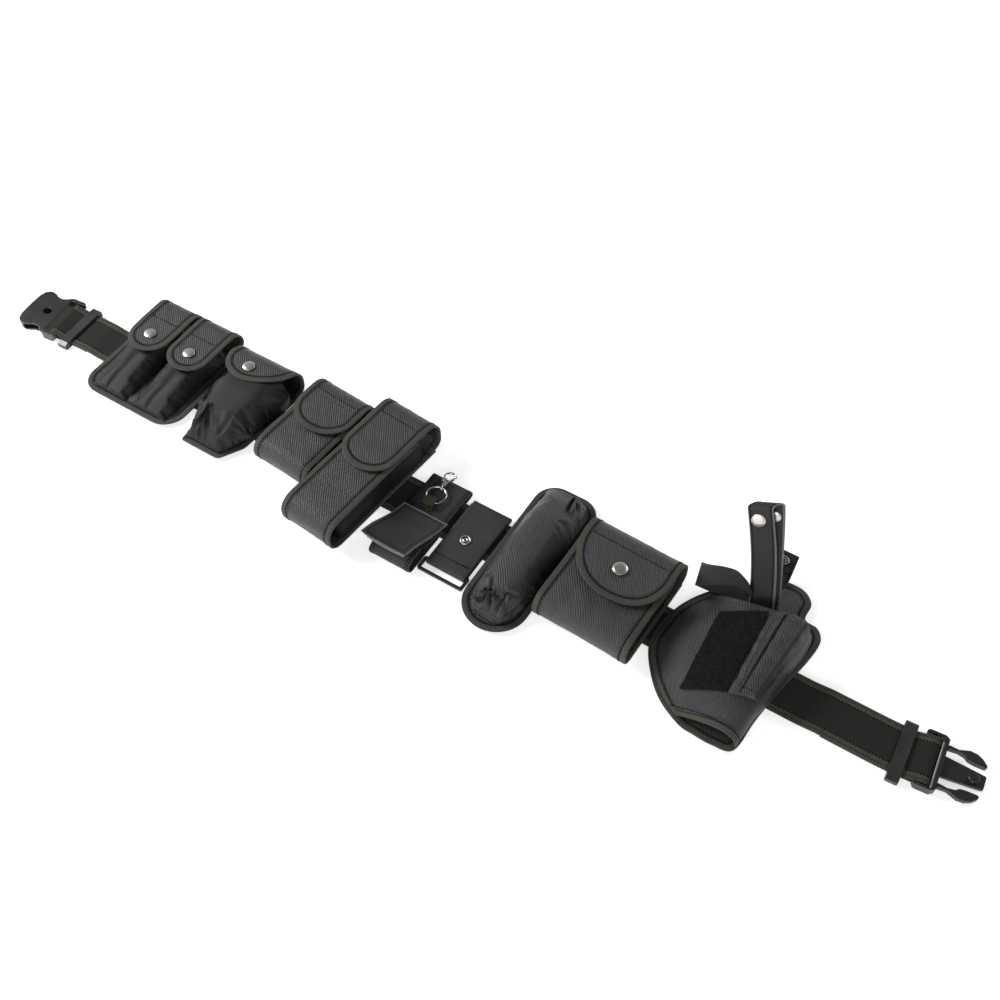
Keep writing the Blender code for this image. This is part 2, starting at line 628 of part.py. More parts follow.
def make_key_holder(mats):
    place = holder("key_place", KEY_X)
    low, high = LOOP_T / 2.0, 0.0076
    path = fillet([(-0.0500, 0.0135), (-0.0360, high), (0.0380, high), (0.0385, low),
                   (-0.0740, low), (-0.0800, 0.0100), (-0.0680, 0.0165), (-0.0540, 0.0160)],
                  [0.0, 0.006, 0.0032, 0.0032, 0.006, 0.005, 0.004, 0.0], 4)
    add_object("key_strap", ribbon(path, LOOP_T, 0.048), mats["fine"], place)

    wire, ring_r, ring_x = 0.0011, 0.0105, -0.0035
    spare = 0.0011                       # play of the ring inside its tab
    tab_low = high + LOOP_T + GAP
    tab_high = tab_low + LOOP_T + 2.0 * (wire + spare)
    fold_y, ring_z = 0.0075, (tab_low + tab_high) / 2.0
    tab_path = fillet([(-0.0060, tab_low), (fold_y, tab_low), (fold_y, tab_high), (-0.0050, tab_high)],
                      [0.0, 0.0022, 0.0022, 0.0], 5)
    add_object("key_tab", ribbon(tab_path, LOOP_T, 0.0130, centre=ring_x), mats["fine"], place)
    ring_centre = (ring_x, fold_y + 0.0042, ring_z)
    add_object("key_ring", tube_ring(ring_centre, ring_r, wire), mats["chrome"], place,
               origin=(ring_x, ring_centre[1] - ring_r, ring_z))
    make_key_hook(ring_centre, ring_r, mats, place)

    cover = fillet([(-0.0130, 0.0118), (-0.0300, 0.0135), (-0.0600, 0.0220), (-0.0740, 0.0230)],
                   [0.0, 0.012, 0.020, 0.0], 4)
    add_object("key_cover", cover_solid(cover), mats["vinyl"], place, origin=(0.0, -0.0150, 0.0118))


def cover_solid(path):
    """The key cover: a square vinyl sheet on the slope of its path, turned and lifted at a corner."""
    path = Path(path)
    outer, inner = [], []
    half, sheet = 0.0265, 0.0016
    for i in range(9):
        point, normal = path.at(path.length * i / 8)
        for side, rows in ((1.0, outer), (-1.0, inner)):
            place = point + normal * (side * sheet / 2.0)
            row = []
            for j in range(7):
                across = half * (j / 3.0 - 1.0)
                lift = 0.0035 * (i / 8.0) * (j / 6.0 - 0.5) ** 2
                row.append((across - 0.0040 + 0.010 * (0.5 - i / 8.0), place.x, place.y + lift))
            rows.append(row)
    return grid_solid(outer, inner)


def make_key_hook(ring_centre, ring_r, mats, place):
    """A snap hook: an eye round the key ring, a shank, a bent nose and a sprung gate."""
    x, y, z = ring_centre
    far = y + ring_r
    eye = tube_ring((x, far, z), 0.0023, 0.0008, Matrix.Rotation(math.pi / 2.0, 4, "Y"), 16, 6)
    hook = add_object("key_hook", eye, mats["chrome"], place, origin=(x, far, z))
    shank = box(x - 0.0022, x + 0.0022, far + 0.0028, far + 0.0085, z - 0.0014, z + 0.0018)
    cut(hook, shank, "shank_join", "UNION")
    mouth = Matrix.Rotation(math.radians(-50.0), 4, "Z")
    bow = tube_ring((x, far + 0.0160, z + 0.0002), 0.0058, 0.0013, mouth, 20, 8, math.radians(150.0))
    cut(hook, bow, "bow_join", "UNION")
    link = box(x - 0.0052, x - 0.0010, far + 0.0070, far + 0.0125, z - 0.0012, z + 0.0016)
    cut(hook, link, "link_join", "UNION")
    low, high = far + 0.0091, far + 0.0172
    bar = [(x + 0.0010, low), (x + 0.0028, low), (x + 0.0060, high), (x + 0.0042, high)]
    gate = prism(bar, z - 0.0010, z + 0.0014)
    add_object("key_hook_gate", gate, mats["chrome"], place, origin=(x + 0.0019, low, z))


def make_baton_holder(mats):
    place = holder("baton_place", BATON_X)
    low, high = LOOP_T / 2.0, PANEL_Z + FABRIC_T / 2.0
    upper = high + LOOP_T + 0.0006
    bar_y = -0.0530
    path = fillet([(-0.0200, high), (0.0320, high), (0.0325, low), (bar_y - 0.0040, low),
                   (bar_y - 0.0040, upper), (0.0260, upper)],
                  [0.0, 0.0019, 0.0019, 0.0029, 0.0029, 0.0], 5)
    add_object("baton_strap", ribbon(path, LOOP_T, 0.045), mats["fine"], place)
    left, right, bar, thick = -0.0270, 0.0262, 0.0034, 0.0034
    middle = (low + upper) / 2.0
    top, bottom = bar_y + bar / 2.0, bar_y - 0.0150
    ring = prism(rounded_box(left, right, bottom, top, [0.0025] * 4, 3), middle - thick / 2.0,
                 middle + thick / 2.0)
    item = add_object("baton_ring", ring, mats["plastic"], place, origin=(0.0, bar_y, middle))
    inside = rounded_box(left + bar, right - bar, bottom + bar, top - bar, [0.0012] * 4, 2)
    cut(item, prism(inside, middle - 2.0 * thick, middle + 2.0 * thick), "ring_hole")
    soften(item, 0.0006)
    make_snap_cap("baton_snap", (-0.0020, -0.0170, upper + LOOP_T / 2.0 + GAP), mats, place, radius=0.0058)


def stadium(half, low, high, top_round=0.024, steps=7):
    """A long outline with a round lower end and softly rounded upper corners."""
    bottom = arc((0.0, low + half), half, 180.0, 360.0, 2 * steps)
    top = fillet([(half, 0.0), (half, high), (-half, high), (-half, 0.0)], [0.0, top_round, top_round, 0.0], 5)
    return bottom + top[1:-1]


def make_spray_pouch(mats):
    place = holder("spray_place", SPRAY_X)
    make_panel("spray_back_panel", stadium(0.0345, -0.0940, 0.0930), mats, place)
    make_belt_loop("spray_belt_loop", 0.046, mats, place)
    rows = [(-0.0870, 0.0, 0.0110, 0.0), (-0.0860, 0.0, 0.0140, 0.0060), (-0.0740, 0.0, 0.0250, 0.0160),
            (-0.0560, 0.0, 0.0305, 0.0270), (-0.0200, 0.0, 0.0315, 0.0320), (0.0300, 0.0, 0.0315, 0.0310),
            (0.0600, -0.001, 0.0305, 0.0230), (0.0780, -0.002, 0.0265, 0.0150)]
    pocket = arch_solid(rows, FABRIC_T, level_base(POCKET_Z), square=2.5, columns=16)
    add_object("spray_pocket", pocket, mats["nylon"], place)


def make_cuff_case(mats):
    place = holder("cuff_place", CUFF_X, CUFF_TURN)
    make_strip_pouch("cuff", place, mats, 0.0515, -0.0580, 0.0550, 0.0340, 0.0360)
    make_belt_loop("cuff_belt_loop", 0.070, mats, place)
    front = PANEL_Z + 0.0340 + 0.0045
    path = flap_path(0.0450, 0.0610, front, -0.0210, front - 0.0010)
    hinge = (0.0, 0.0552, POCKET_Z)
    flap = flap_solid(path, FABRIC_T, 0.0515, 0.056, lean=0.006, columns=12, sharp=2.2)
    add_object("cuff_flap", flap, mats["nylon"], place, origin=hinge)
    snap = (0.0020, 0.0130)
    make_snap_cap("cuff_snap_cap", (*snap, front + FABRIC_T / 2.0 + 0.0001), mats, place, hinge, radius=0.0076)
    make_snap_stud("cuff_snap_stud", (*snap, PANEL_Z + 0.0340 + GAP), mats, place)


# ---------------------------------------------------------------- holster
HOLSTER_ROWS = (     # y, left edge, right edge, height of the front above the back panel
    (-0.0770, -0.0110, 0.0490, 0.0165),
    (-0.0640, -0.0325, 0.0500, 0.0200),
    (-0.0420, -0.0530, 0.0520, 0.0240),
    (-0.0200, -0.0640, 0.0560, 0.0270),
    (0.0100, -0.0640, 0.0600, 0.0295),
    (0.0360, -0.0560, 0.0630, 0.0300),
    (0.0560, -0.0430, 0.0640, 0.0290),
)
SHOULDER = 0.46         # below one, it moves the holster's ridge towards its right side


def holster_row(y):
    rows = HOLSTER_ROWS
    for low, high in zip(rows, rows[1:]):
        if y <= high[0]:
            break
    share = min(max((y - low[0]) / (high[0] - low[0]), 0.0), 1.0)
    return [a + (b - a) * share for a, b in zip(low[1:], high[1:])]


def holster_front(share, y, lift=0.0):
    """A point on the holster's front; share runs from its left edge to its right edge."""
    left, right, height = holster_row(y)
    angle = math.pi * share
    across = left + (right - left) * ((1.0 - math.cos(angle)) / 2.0) ** SHOULDER
    return Vector((across, y, POCKET_Z + height * math.sin(angle) ** 0.80 + lift))


def make_holster_front(mats, place):
    columns = 18
    outer, inner = [], []
    steps = 12
    first, last = HOLSTER_ROWS[0][0], HOLSTER_ROWS[-1][0]
    for i in range(steps + 1):
        y = first + (last - first) * i / steps
        left, right, height = holster_row(y)
        wall = []
        for j in range(columns + 1):
            share = j / columns
            place_out = holster_front(share, y)
            squeeze = (place_out.x - (left + right) / 2.0) / ((right - left) / 2.0)
            x = place_out.x - squeeze * FABRIC_T
            z = POCKET_Z + (place_out.z - POCKET_Z) * (height - FABRIC_T) / height
            wall.append((x, y, z))
        outer.append([holster_front(j / columns, y) for j in range(columns + 1)])
        inner.append(wall)
    add_object("holster_front_panel", grid_solid(outer, inner), mats["nylon"], place)


def holster_patch(left, right, low, high, lift, thickness, columns=8, rows=8, slant=0.0):
    """A patch that lies on the holster's front between two shares of its width."""
    outer, inner = [], []
    for i in range(rows + 1):
        top_row, low_row = [], []
        for j in range(columns + 1):
            share = left + (right - left) * j / columns
            y = low + (high - low) * i / rows + slant * (j / columns - 0.5)
            top_row.append(holster_front(share, y, lift + thickness))
            low_row.append(holster_front(share, y, lift))
        outer.append(top_row)
        inner.append(low_row)
    return grid_solid(outer, inner)


def make_holster(mats):
    place = holder("holster_place", HOLSTER_X)
    outline = [(-0.0062, -0.0826), (0.0110, -0.0848), (0.0300, -0.0850), (0.0490, -0.0790),
               (0.0530, -0.0420), (0.0600, 0.0000), (0.0680, 0.0360), (0.0705, 0.0640),
               (0.0620, 0.0770), (0.0480, 0.0805), (0.0460, 0.1000), (0.0300, 0.1110),
               (0.0020, 0.1060), (-0.0206, 0.0800), (-0.0390, 0.0660), (-0.0515, 0.0500),
               (-0.0615, 0.0300), (-0.0670, 0.0080), (-0.0670, -0.0200), (-0.0555, -0.0430),
               (-0.0335, -0.0677)]
    outline = fillet(outline, [0.012] * len(outline), 2, closed=True)
    make_panel("holster_back_panel", outline, mats, place)
    make_belt_loop("holster_belt_loop", 0.070, mats, place)
    make_holster_front(mats, place)
    pad = holster_patch(0.16, 0.50, -0.0500, 0.0460, 0.0014, 0.0016, slant=0.012)
    add_object("holster_loop_pad", pad, mats["pile"], place)
    make_holster_magazine_pocket(mats, place)
    make_holster_straps(mats, place)


def make_holster_magazine_pocket(mats, place):
    """A small pocket for a spare magazine on the right shoulder of the holster."""
    left, right, columns = 0.53, 0.90, 14
    stations = ((-0.0430, 0.0), (-0.0420, 0.0045), (-0.0300, 0.0085), (0.0000, 0.0110),
                (0.0300, 0.0120), (0.0520, 0.0120))
    outer, inner = [], []
    for i, (y, height) in enumerate(stations):
        top_row, low_row = [], []
        for j in range(columns + 1):
            angle = math.pi * j / columns
            swell = math.sin(angle) ** 0.45
            share = left + (right - left) * (1.0 - math.copysign(abs(math.cos(angle)) ** 0.6, math.cos(angle))) / 2.0
            inset = 0.012 * math.cos(angle)
            shift = 0.0015 if i < 2 else 0.0
            top_row.append(holster_front(share, y, 0.0014 + height * swell))
            low_row.append(holster_front(share + inset, y + shift,
                                         0.0014 + max(height - FABRIC_T, 0.0) * swell))
        outer.append(top_row)
        inner.append(low_row)
    add_object("holster_mag_pocket", grid_solid(outer, inner), mats["fine"], place)


SIDE_BAND = (           # lower and upper edge of the elastic side loop, from one sewn end to the other
    ((-0.0120, 0.0600, 0.0078), (-0.0120, 0.0820, 0.0098)),
    ((-0.0300, 0.0592, 0.0080), (-0.0310, 0.0812, 0.0112)),
    ((-0.0440, 0.0578, 0.0088), (-0.0460, 0.0790, 0.0170)),
    ((-0.0530, 0.0562, 0.0102), (-0.0560, 0.0755, 0.0235)),
    ((-0.0568, 0.0548, 0.0122), (-0.0602, 0.0722, 0.0280)),
    ((-0.0560, 0.0535, 0.0146), (-0.0594, 0.0695, 0.0314)),
    ((-0.0480, 0.0545, 0.0190), (-0.0520, 0.0680, 0.0360)),
    ((-0.0340, 0.0590, 0.0262), (-0.0390, 0.0672, 0.0440)),
    ((-0.0200, 0.0615, 0.0325), (-0.0259, 0.0665, 0.0490)),
    ((-0.0120, 0.0615, 0.0335), (-0.0177, 0.0652, 0.0470)),
    ((-0.0062, 0.0605, 0.0290), (-0.0100, 0.0640, 0.0420)),
    ((-0.0020, 0.0600, 0.0200), (-0.0045, 0.0630, 0.0330)),
)


def band_solid(stations, thickness, columns=2):
    """A strap between two edges given station by station."""
    outer, inner = [], []
    count = len(stations)
    for i, (low, high) in enumerate(stations):
        low, high = Vector(low), Vector(high)
        back = sum((Vector(p) for p in stations[max(i - 1, 0)]), Vector())
        ahead = sum((Vector(p) for p in stations[min(i + 1, count - 1)]), Vector())
        normal = (ahead - back).cross(high - low).normalized() * (thickness / 2.0)
        line = [low.lerp(high, j / columns) for j in range(columns + 1)]
        outer.append([p + normal for p in line])
        inner.append([p - normal for p in line])
    return grid_solid(outer, inner)


def standing_frame(base, axis, across):
    """A frame with its Z along a leaning strap and its X across the strap."""
    axis = Vector(axis).normalized()
    across = Vector(across)
    across = (across - axis * across.dot(axis)).normalized()
    turn = Matrix((across, axis.cross(across), axis)).transposed()
    return Matrix.Translation(base) @ turn.to_4x4()


def make_holster_straps(mats, place):
    base = Vector((0.0078, 0.0630, POCKET_Z + 0.0044))
    length, thickness = 0.1165, 0.0017
    stand = standing_frame(base, (-0.036, 0.034, 0.106), (1.0, 0.2, 0.0))
    path = fillet([(0.0, 0.0), (0.0, length - 0.002), (0.0085, length), (0.0023, 0.0)],
                  [0.0, 0.0034, 0.0034, 0.0], 4)
    strap = ribbon(path, thickness, 0.0230)
    bmesh.ops.transform(strap, matrix=stand, verts=strap.verts)
    add_object("holster_thumb_strap", strap, mats["fine"], place, origin=base)
    cap = turned([(0, 0), (0.0062, 0.0), (0.0066, 0.0005), (0.0062, 0.0011), (0.0046, 0.0017),
                  (0.0024, 0.0019), (0, 0)], (0.0, 0.0, 0.0))
    seat = stand @ Matrix.Translation((-0.0010, -thickness / 2.0 - GAP, length - 0.0160))
    bmesh.ops.transform(cap, matrix=seat @ Matrix.Rotation(math.pi / 2.0, 4, "X"), verts=cap.verts)
    add_object("holster_thumb_snap", cap, mats["nickel"], place, origin=base)

    add_object("holster_side_strap", band_solid(SIDE_BAND, 0.0013), mats["fine"], place,
               origin=(-0.0120, 0.0700, 0.0088))

    tab_base = Vector((0.0055, 0.1020, POCKET_Z + 0.0004))
    tab = ribbon([(0.0, 0.0012), (0.0060, 0.0030), (0.0120, 0.0120), (0.0190, 0.0300)], 0.0017, 0.0240)
    bmesh.ops.transform(tab, matrix=Matrix.Translation(tab_base), verts=tab.verts)
    add_object("holster_rear_tab", tab, mats["fine"], place, origin=tab_base)
    ring = turned([(0, 0), (0.0054, 0.0), (0.0054, 0.0010), (0.0036, 0.0013), (0.0020, 0.0006), (0, 0)],
                  (0.0, 0.0, 0.0))
    slope = Matrix.Translation(tab_base + Vector((0.0, 0.0144, 0.0222)))
    bmesh.ops.transform(ring, matrix=slope @ Matrix.Rotation(math.radians(68.0), 4, "X"), verts=ring.verts)
    add_object("holster_rear_tab_snap", ring, mats["nickel"], place, origin=tab_base)


def main():
    clear_scene()
    mats = make_materials()
    make_belt(mats)
    make_keeper("keeper_left", -KEEPER_X, mats)
    make_keeper("keeper_right", KEEPER_X, mats)
    make_female_buckle(mats)
    make_male_buckle(mats)
    make_magazine_pouch(mats)
    make_utility_pouch(mats)
    make_phone_pouch(mats)
    make_torch_pouch(mats)
    make_key_holder(mats)
    make_baton_holder(mats)
    make_spray_pouch(mats)
    make_cuff_case(mats)
    make_holster(mats)


main()
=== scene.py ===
"""Looks of the duty belt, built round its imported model."""

import math

import bmesh
import bpy
import numpy as np
from mathutils import Matrix, Vector
from mathutils.geometry import delaunay_2d_cdt


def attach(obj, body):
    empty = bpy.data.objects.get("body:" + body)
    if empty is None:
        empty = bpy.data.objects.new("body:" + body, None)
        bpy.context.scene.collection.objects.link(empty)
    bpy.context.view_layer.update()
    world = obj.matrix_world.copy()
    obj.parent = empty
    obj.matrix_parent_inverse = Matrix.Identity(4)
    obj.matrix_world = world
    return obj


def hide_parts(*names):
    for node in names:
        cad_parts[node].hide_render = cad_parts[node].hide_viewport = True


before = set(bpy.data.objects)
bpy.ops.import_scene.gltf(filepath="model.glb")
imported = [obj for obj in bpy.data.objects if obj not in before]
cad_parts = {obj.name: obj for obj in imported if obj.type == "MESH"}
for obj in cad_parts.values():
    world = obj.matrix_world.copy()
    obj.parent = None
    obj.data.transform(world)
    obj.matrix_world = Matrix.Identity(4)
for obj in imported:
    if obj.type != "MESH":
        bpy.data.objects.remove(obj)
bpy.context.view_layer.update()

# ---------------------------------------------------------------- sizes shared with the CAD, metres
GAP = 0.0003
WEB_WIDTH, WEB_T = 0.050, 0.0016
LOOP_T, PANEL_T, FABRIC_T = 0.0015, 0.0022, 0.0018
BAR_X, LOOP_BAR_Z = 0.518, 0.0061
WEB_Z = LOOP_T + GAP
PANEL_Z = WEB_Z + WEB_T + GAP
POCKET_Z = PANEL_Z + PANEL_T + GAP
PLACES = {                   # each pouch's middle along the belt and its turn in degrees
    "mag": (-0.371, 0.0), "utility": (-0.256, 0.0), "phone": (-0.161, -4.5), "torch": (-0.0855, -5.0),
    "key": (-0.0080, 0.0), "baton": (0.045, 0.0), "spray": (0.1070, 0.0), "cuff": (0.1972, -2.0),
    "holster": (0.320, 0.0),
}

# ---------------------------------------------------------------- sizes of the sewing, metres
TAPE = 0.0085                # width of the binding tape on each face
TAPE_T = 0.00035
SEAM_INSET = TAPE - 0.0014   # the stitches that hold the tape
STITCH, PITCH = 0.0024, 0.0030
SHORT_STITCH = 0.0021
TAPED, THREAD = 1, 2         # the places of the tape and of the thread among a piece's materials
MM = 0.001
THREAD_WIDTH, THREAD_HEIGHT = 0.0011, 0.0005
PANEL_STEP = 0.0019          # between the points of a panel's mesh


def placing(name):
    x, turn = PLACES[name]
    return Matrix.Translation((x, 0.0, 0.0)) @ Matrix.Rotation(math.radians(turn), 4, "Z")


# ---------------------------------------------------------------- materials
class Graph:
    """A material's nodes, added a line at a time."""

    def __init__(self, name, colour, roughness, metallic=0.0, **sockets):
        self.material = bpy.data.materials.new(name)
        self.material.use_nodes = True
        self.tree = self.material.node_tree
        self.shader = self.tree.nodes["Principled BSDF"]
        self.set(**{"Base Color": (*colour, 1.0), "Roughness": roughness, "Metallic": metallic})
        self.set(**{socket.replace("_", " "): value for socket, value in sockets.items()})

    def set(self, **sockets):
        for socket, value in sockets.items():
            self.plug(value, self.shader.inputs[socket])

    def plug(self, value, socket):
        if isinstance(value, bpy.types.NodeSocket):
            self.tree.links.new(value, socket)
        else:
            socket.default_value = value

    def add(self, kind, *inputs, out=0, **settings):
        node = self.tree.nodes.new("ShaderNode" + kind)
        for key, value in settings.items():
            setattr(node, key, value)
        for index, value in enumerate(inputs):
            if value is not None:
                self.plug(value, node.inputs[index])
        return node.outputs[out]

    def math(self, operation, *inputs):
        return self.add("Math", *inputs, operation=operation)

    def mix(self, share, low, high):
        node = self.tree.nodes.new("ShaderNodeMix")
        node.data_type = "RGBA"
        self.plug(share, node.inputs["Factor"])
        self.plug(low, node.inputs["A"])
        self.plug(high, node.inputs["B"])
        return node.outputs["Result"]

    def along(self, attribute):
        """The two coordinates of a cloth attribute, in metres."""
        split = self.tree.nodes.new("ShaderNodeSeparateXYZ")
        self.plug(self.add("Attribute", attribute_name=attribute, out=1), split.inputs[0])
        return split.outputs[0], split.outputs[1]

    def blend(self, *terms):
        """A weighted sum of values."""
        total = None
        for value, weight in terms:
            term = self.math("MULTIPLY", value, weight)
            total = term if total is None else self.math("ADD", total, term)
        return total

    def wave(self, a, b, step_a, step_b):
        """A sine of two coordinates; each step is one wave's length along that axis, or 0."""
        pairs = ((a, step_a), (b, step_b))
        return self.math("SINE", self.blend(*((value, math.tau / step) for value, step in pairs if step)))

    def noise(self, scale, detail=2.0, stretch=None):
        place = self.add("TexCoord", out=3)
        if stretch:
            place = self.add("Mapping", place, None, None, stretch)
        node = self.tree.nodes.new("ShaderNodeTexNoise")
        self.plug(place, node.inputs["Vector"])
        self.plug(scale, node.inputs["Scale"])
        self.plug(detail, node.inputs["Detail"])
        return node.outputs["Fac"]

    def bump(self, height, distance, strength=1.0, normal=None):
        node = self.tree.nodes.new("ShaderNodeBump")
        self.plug(distance, node.inputs["Distance"])
        self.plug(strength, node.inputs["Strength"])
        self.plug(height, node.inputs["Height"])
        if normal is not None:
            self.plug(normal, node.inputs["Normal"])
        self.set(Normal=node.outputs[0])

    def round_edges(self, radius):
        return self.add("Bevel", radius, samples=6)

    def tint(self, share, dark, light):
        self.set(**{"Base Color": self.mix(share, (*dark, 1.0), (*light, 1.0))})


def scaled(colour, factor):
    return tuple(min(c * factor, 1.0) for c in colour)


SEAM_SHADOW_COLOUR = (0.0015, 0.0015, 0.0015, 1.0)         # the shadow in a sunk seam
BLACK = (0.024, 0.024, 0.026)
# seam lines for the cloth looks: each darkens the colour with a painted shadow along a sunk seam, given as
# (distance from the bound edge, half width, depth)
BESIDE_TAPE = ((TAPE + 0.0003, 0.0006, 2.0),)
ON_TAPE = ((0.0066, 0.0008, 2.5),)
ON_WEB = ((0.0030, 0.0004, 2.0), (0.0086, 0.0006, 2.5))
ON_VINYL = ((0.0042, 0.0007, 2.5),)
WOVEN = {   # name, colour, roughness, ribs, threads, relief, strength of the painted shade on ribs and threads and of the speckle, wear, gloss, seams with painted shadow
    "nylon": ("ribbed_ballistic_nylon", BLACK, 0.44, (0.0028, 0.0037), 0.0011, 0.00022, 1.0, 0.20, 0.40,
              BESIDE_TAPE),
    "flap": ("ribbed_flap_nylon", BLACK, 0.44, (0.0028, -0.0037), 0.0011, 0.00022, 1.0, 0.20, 0.40,
             BESIDE_TAPE),
    "fine": ("fine_nylon", (0.0085, 0.0085, 0.010), 0.52, (0.0, 0.0011), 0.0008, 0.00010, 0.6, 0.25, 0.30,
             ()),
    "satin": ("satin_webbing", (0.022, 0.023, 0.022), 0.46, (0.0, 0.0014), 0.0009, 0.00012, 0.50, 0.25,
              0.34, ()),
    "strap": ("strap_webbing", (0.022, 0.022, 0.022), 0.50, (0.0, 0.0009), 0.0010, 0.00014, 0.60, 0.25,
              0.30, ()),
    "elastic": ("elastic", (0.005, 0.005, 0.005), 0.66, (0.0016, 0.0), 0.0012, 0.00018, 0.8, 0.25, 0.16, ()),
    "tape": ("binding_tape", (0.040, 0.039, 0.033), 0.62, (0.0017, 0.0034), 0.0012, 0.00018, 0.70, 0.30,
             0.24, ON_TAPE),
    "web": ("belt_webbing_weave", (0.011, 0.011, 0.010), 0.66, (0.0, 0.0019), 0.0013, 0.00018, 0.5, 0.25,
            0.20, ()),
    "web_edge": ("belt_webbing_edge", (0.036, 0.033, 0.025), 0.64, (0.0027, 0.0027), 0.0013, 0.00018, 1.3,
                 0.25, 0.22,
                 ON_WEB),
    "tab": ("tab_webbing", (0.018, 0.018, 0.011), 0.62, (0.0, 0.0017), 0.0012, 0.00018, 0.6, 0.25, 0.24, ()),
    "vinyl": ("smooth_vinyl", (0.024, 0.025, 0.028), 0.36, (0.0, 0.0009), 0.0009, 0.00004, 0.12, 0.35, 0.45,
              ON_VINYL),
}


def woven(name, colour, roughness, ribs, threads, relief, shading_and_speckle, wear, gloss, seams, attribute="cloth"):
    """Woven cloth: ribs, threads, soft unevenness, paler worn ribs, and dark sunk lines along its seams.

    Each seam is (distance from the bound edge, half width, depth). Along each one the colour is darkened with
    a painted shadow of its sunk groove.
    """
    graph = Graph(name, colour, roughness, Specular_IOR_Level=gloss)
    s, t = graph.along(attribute)
    rib = graph.wave(s, t, *ribs)
    thread = graph.math("MULTIPLY", graph.wave(s, t, threads, 0.0), graph.wave(s, t, 0.0, threads))
    fuzz, patch = graph.noise(2600.0, 1.0), graph.noise(28.0, 3.0)
    height = graph.blend((rib, 0.62), (thread, 0.30), (fuzz, 0.35))
    # painted shade: the ribs and threads lighten and darken the colour the way light falling on their relief
    # would; the fuzz adds speckle and the patches uneven wear
    shade = graph.blend((rib, shading_and_speckle * 0.5), (thread, shading_and_speckle * 0.25), (fuzz, shading_and_speckle * 0.5),
                        (patch, wear * 1.6))
    share = graph.add("Clamp", graph.math("ADD", shade, 0.38 - wear * 0.8), 0.0, 1.0)
    light = graph.mix(share, (*scaled(colour, 0.30), 1.0), (*scaled(colour, 2.1), 1.0))
    away = graph.along("edge")[1]
    for at, wide, depth in seams:
        off = graph.math("DIVIDE", graph.math("SUBTRACT", away, at), wide)
        dip = graph.math("POWER", math.e, graph.math("MULTIPLY", graph.math("MULTIPLY", off, off), -1.0))
        # painted shadow along the sunk seam
        light = graph.mix(graph.math("MULTIPLY", dip, 0.88), light, SEAM_SHADOW_COLOUR)
        height = graph.math("SUBTRACT", height, graph.math("MULTIPLY", dip, depth))
    graph.bump(height, relief)
    rough = graph.math("ADD", graph.math("MULTIPLY", patch, 0.20), roughness - 0.10)
    graph.set(**{"Base Color": light, "Roughness": rough})
    return graph.material


def make_looks():
    looks = {}
    for key, values in WOVEN.items():
        looks[key] = woven(*values, attribute="edge" if key == "tape" else "cloth")

    thread = Graph("black_thread", (0.003, 0.003, 0.003), 0.85, Specular_IOR_Level=0.08)
    thread.bump(thread.wave(*thread.along("cloth"), 0.0006, 0.0006), 0.00004)
    thread.tint(thread.noise(900.0), (0.001, 0.001, 0.001), (0.004, 0.004, 0.004))
    looks["thread"] = thread.material

    cut = Graph("cut_edge", (0.16, 0.16, 0.15), 0.80)
    fibres = cut.noise(1500.0, 3.0)
    cut.tint(fibres, (0.05, 0.05, 0.048), (0.26, 0.26, 0.25))
    cut.bump(fibres, 0.0002)
    looks["cut"] = cut.material

    pile = Graph("hook_and_loop_pile", (0.004, 0.004, 0.005), 0.95, Specular_IOR_Level=0.06)
    fluff, clumps = pile.noise(1400.0, 4.0), pile.noise(420.0, 3.0)
    pile.tint(pile.math("MULTIPLY", fluff, clumps), (0.0008, 0.0008, 0.0010), (0.045, 0.045, 0.050))
    pile.bump(pile.blend((fluff, 1.0), (clumps, 0.8)), 0.0006)
    looks["pile"] = pile.material

    for name, colour, roughness in (("plastic", (0.012, 0.012, 0.011), 0.34),
                                    ("grey_plastic", (0.022, 0.023, 0.023), 0.30)):
        graph = Graph("moulded_" + name, colour, roughness)
        grain, wear = graph.noise(3200.0, 2.0), graph.noise(45.0, 3.0)
        graph.tint(wear, scaled(colour, 0.7), scaled(colour, 1.5))
        graph.set(Roughness=graph.math("ADD", graph.math("MULTIPLY", wear, 0.25), roughness - 0.12))
        graph.bump(grain, 0.00003, 0.6, graph.round_edges(0.0006))
        looks[name] = graph.material

    for name, colour, roughness, edge in (("nickel", (0.66, 0.63, 0.59), 0.30, 0.0),
                                          ("chrome", (0.90, 0.90, 0.90), 0.08, 0.0004)):
        graph = Graph("plated_" + name, colour, roughness, 1.0)
        haze, scratches = graph.noise(90.0, 3.0), graph.noise(700.0, 3.0, (1.0, 6.0, 1.0))
        graph.tint(haze, scaled(colour, 0.86), scaled(colour, 1.06))
        graph.set(Roughness=graph.math("ADD", graph.math("MULTIPLY", scratches, 0.14), roughness - 0.05))
        graph.bump(scratches, 0.00001, 0.4, graph.round_edges(edge) if edge else None)
        looks[name] = graph.material

    # painted shade: a near-black colour for the studs' hollows and grooves, where shadow falls
    dark = Graph("stud_hollow_shade", (0.010, 0.010, 0.010), 0.45, 0.3)
    dark.tint(dark.noise(300.0), (0.004, 0.004, 0.004), (0.022, 0.022, 0.022))
    looks["dark"] = dark.material
    return looks


LOOKS = make_looks()


# ---------------------------------------------------------------- small mathematics
def smooth(low, high, value):
    share = np.clip((value - low) / (high - low), 0.0, 1.0)
    return share * share * (3.0 - 2.0 * share)


def waves(seed, x, y, size, count=7):
    """A smooth uneven height of about plus or minus one, the same on each run."""
    random = np.random.default_rng(seed)
    total = 0.0
    for _ in range(count):
        angle = random.uniform(0.0, math.tau)
        k = math.tau / (size * random.uniform(0.6, 1.6))
        phase = random.uniform(0.0, math.tau)
        total = total + np.sin(k * (x * math.cos(angle) + y * math.sin(angle)) + phase)
    return total / math.sqrt(count)


def arc(centre, radius, start, end, steps):
    angles = np.radians(np.linspace(start, end, steps + 1))
    return [(centre[0] + radius * math.cos(a), centre[1] + radius * math.sin(a)) for a in angles]


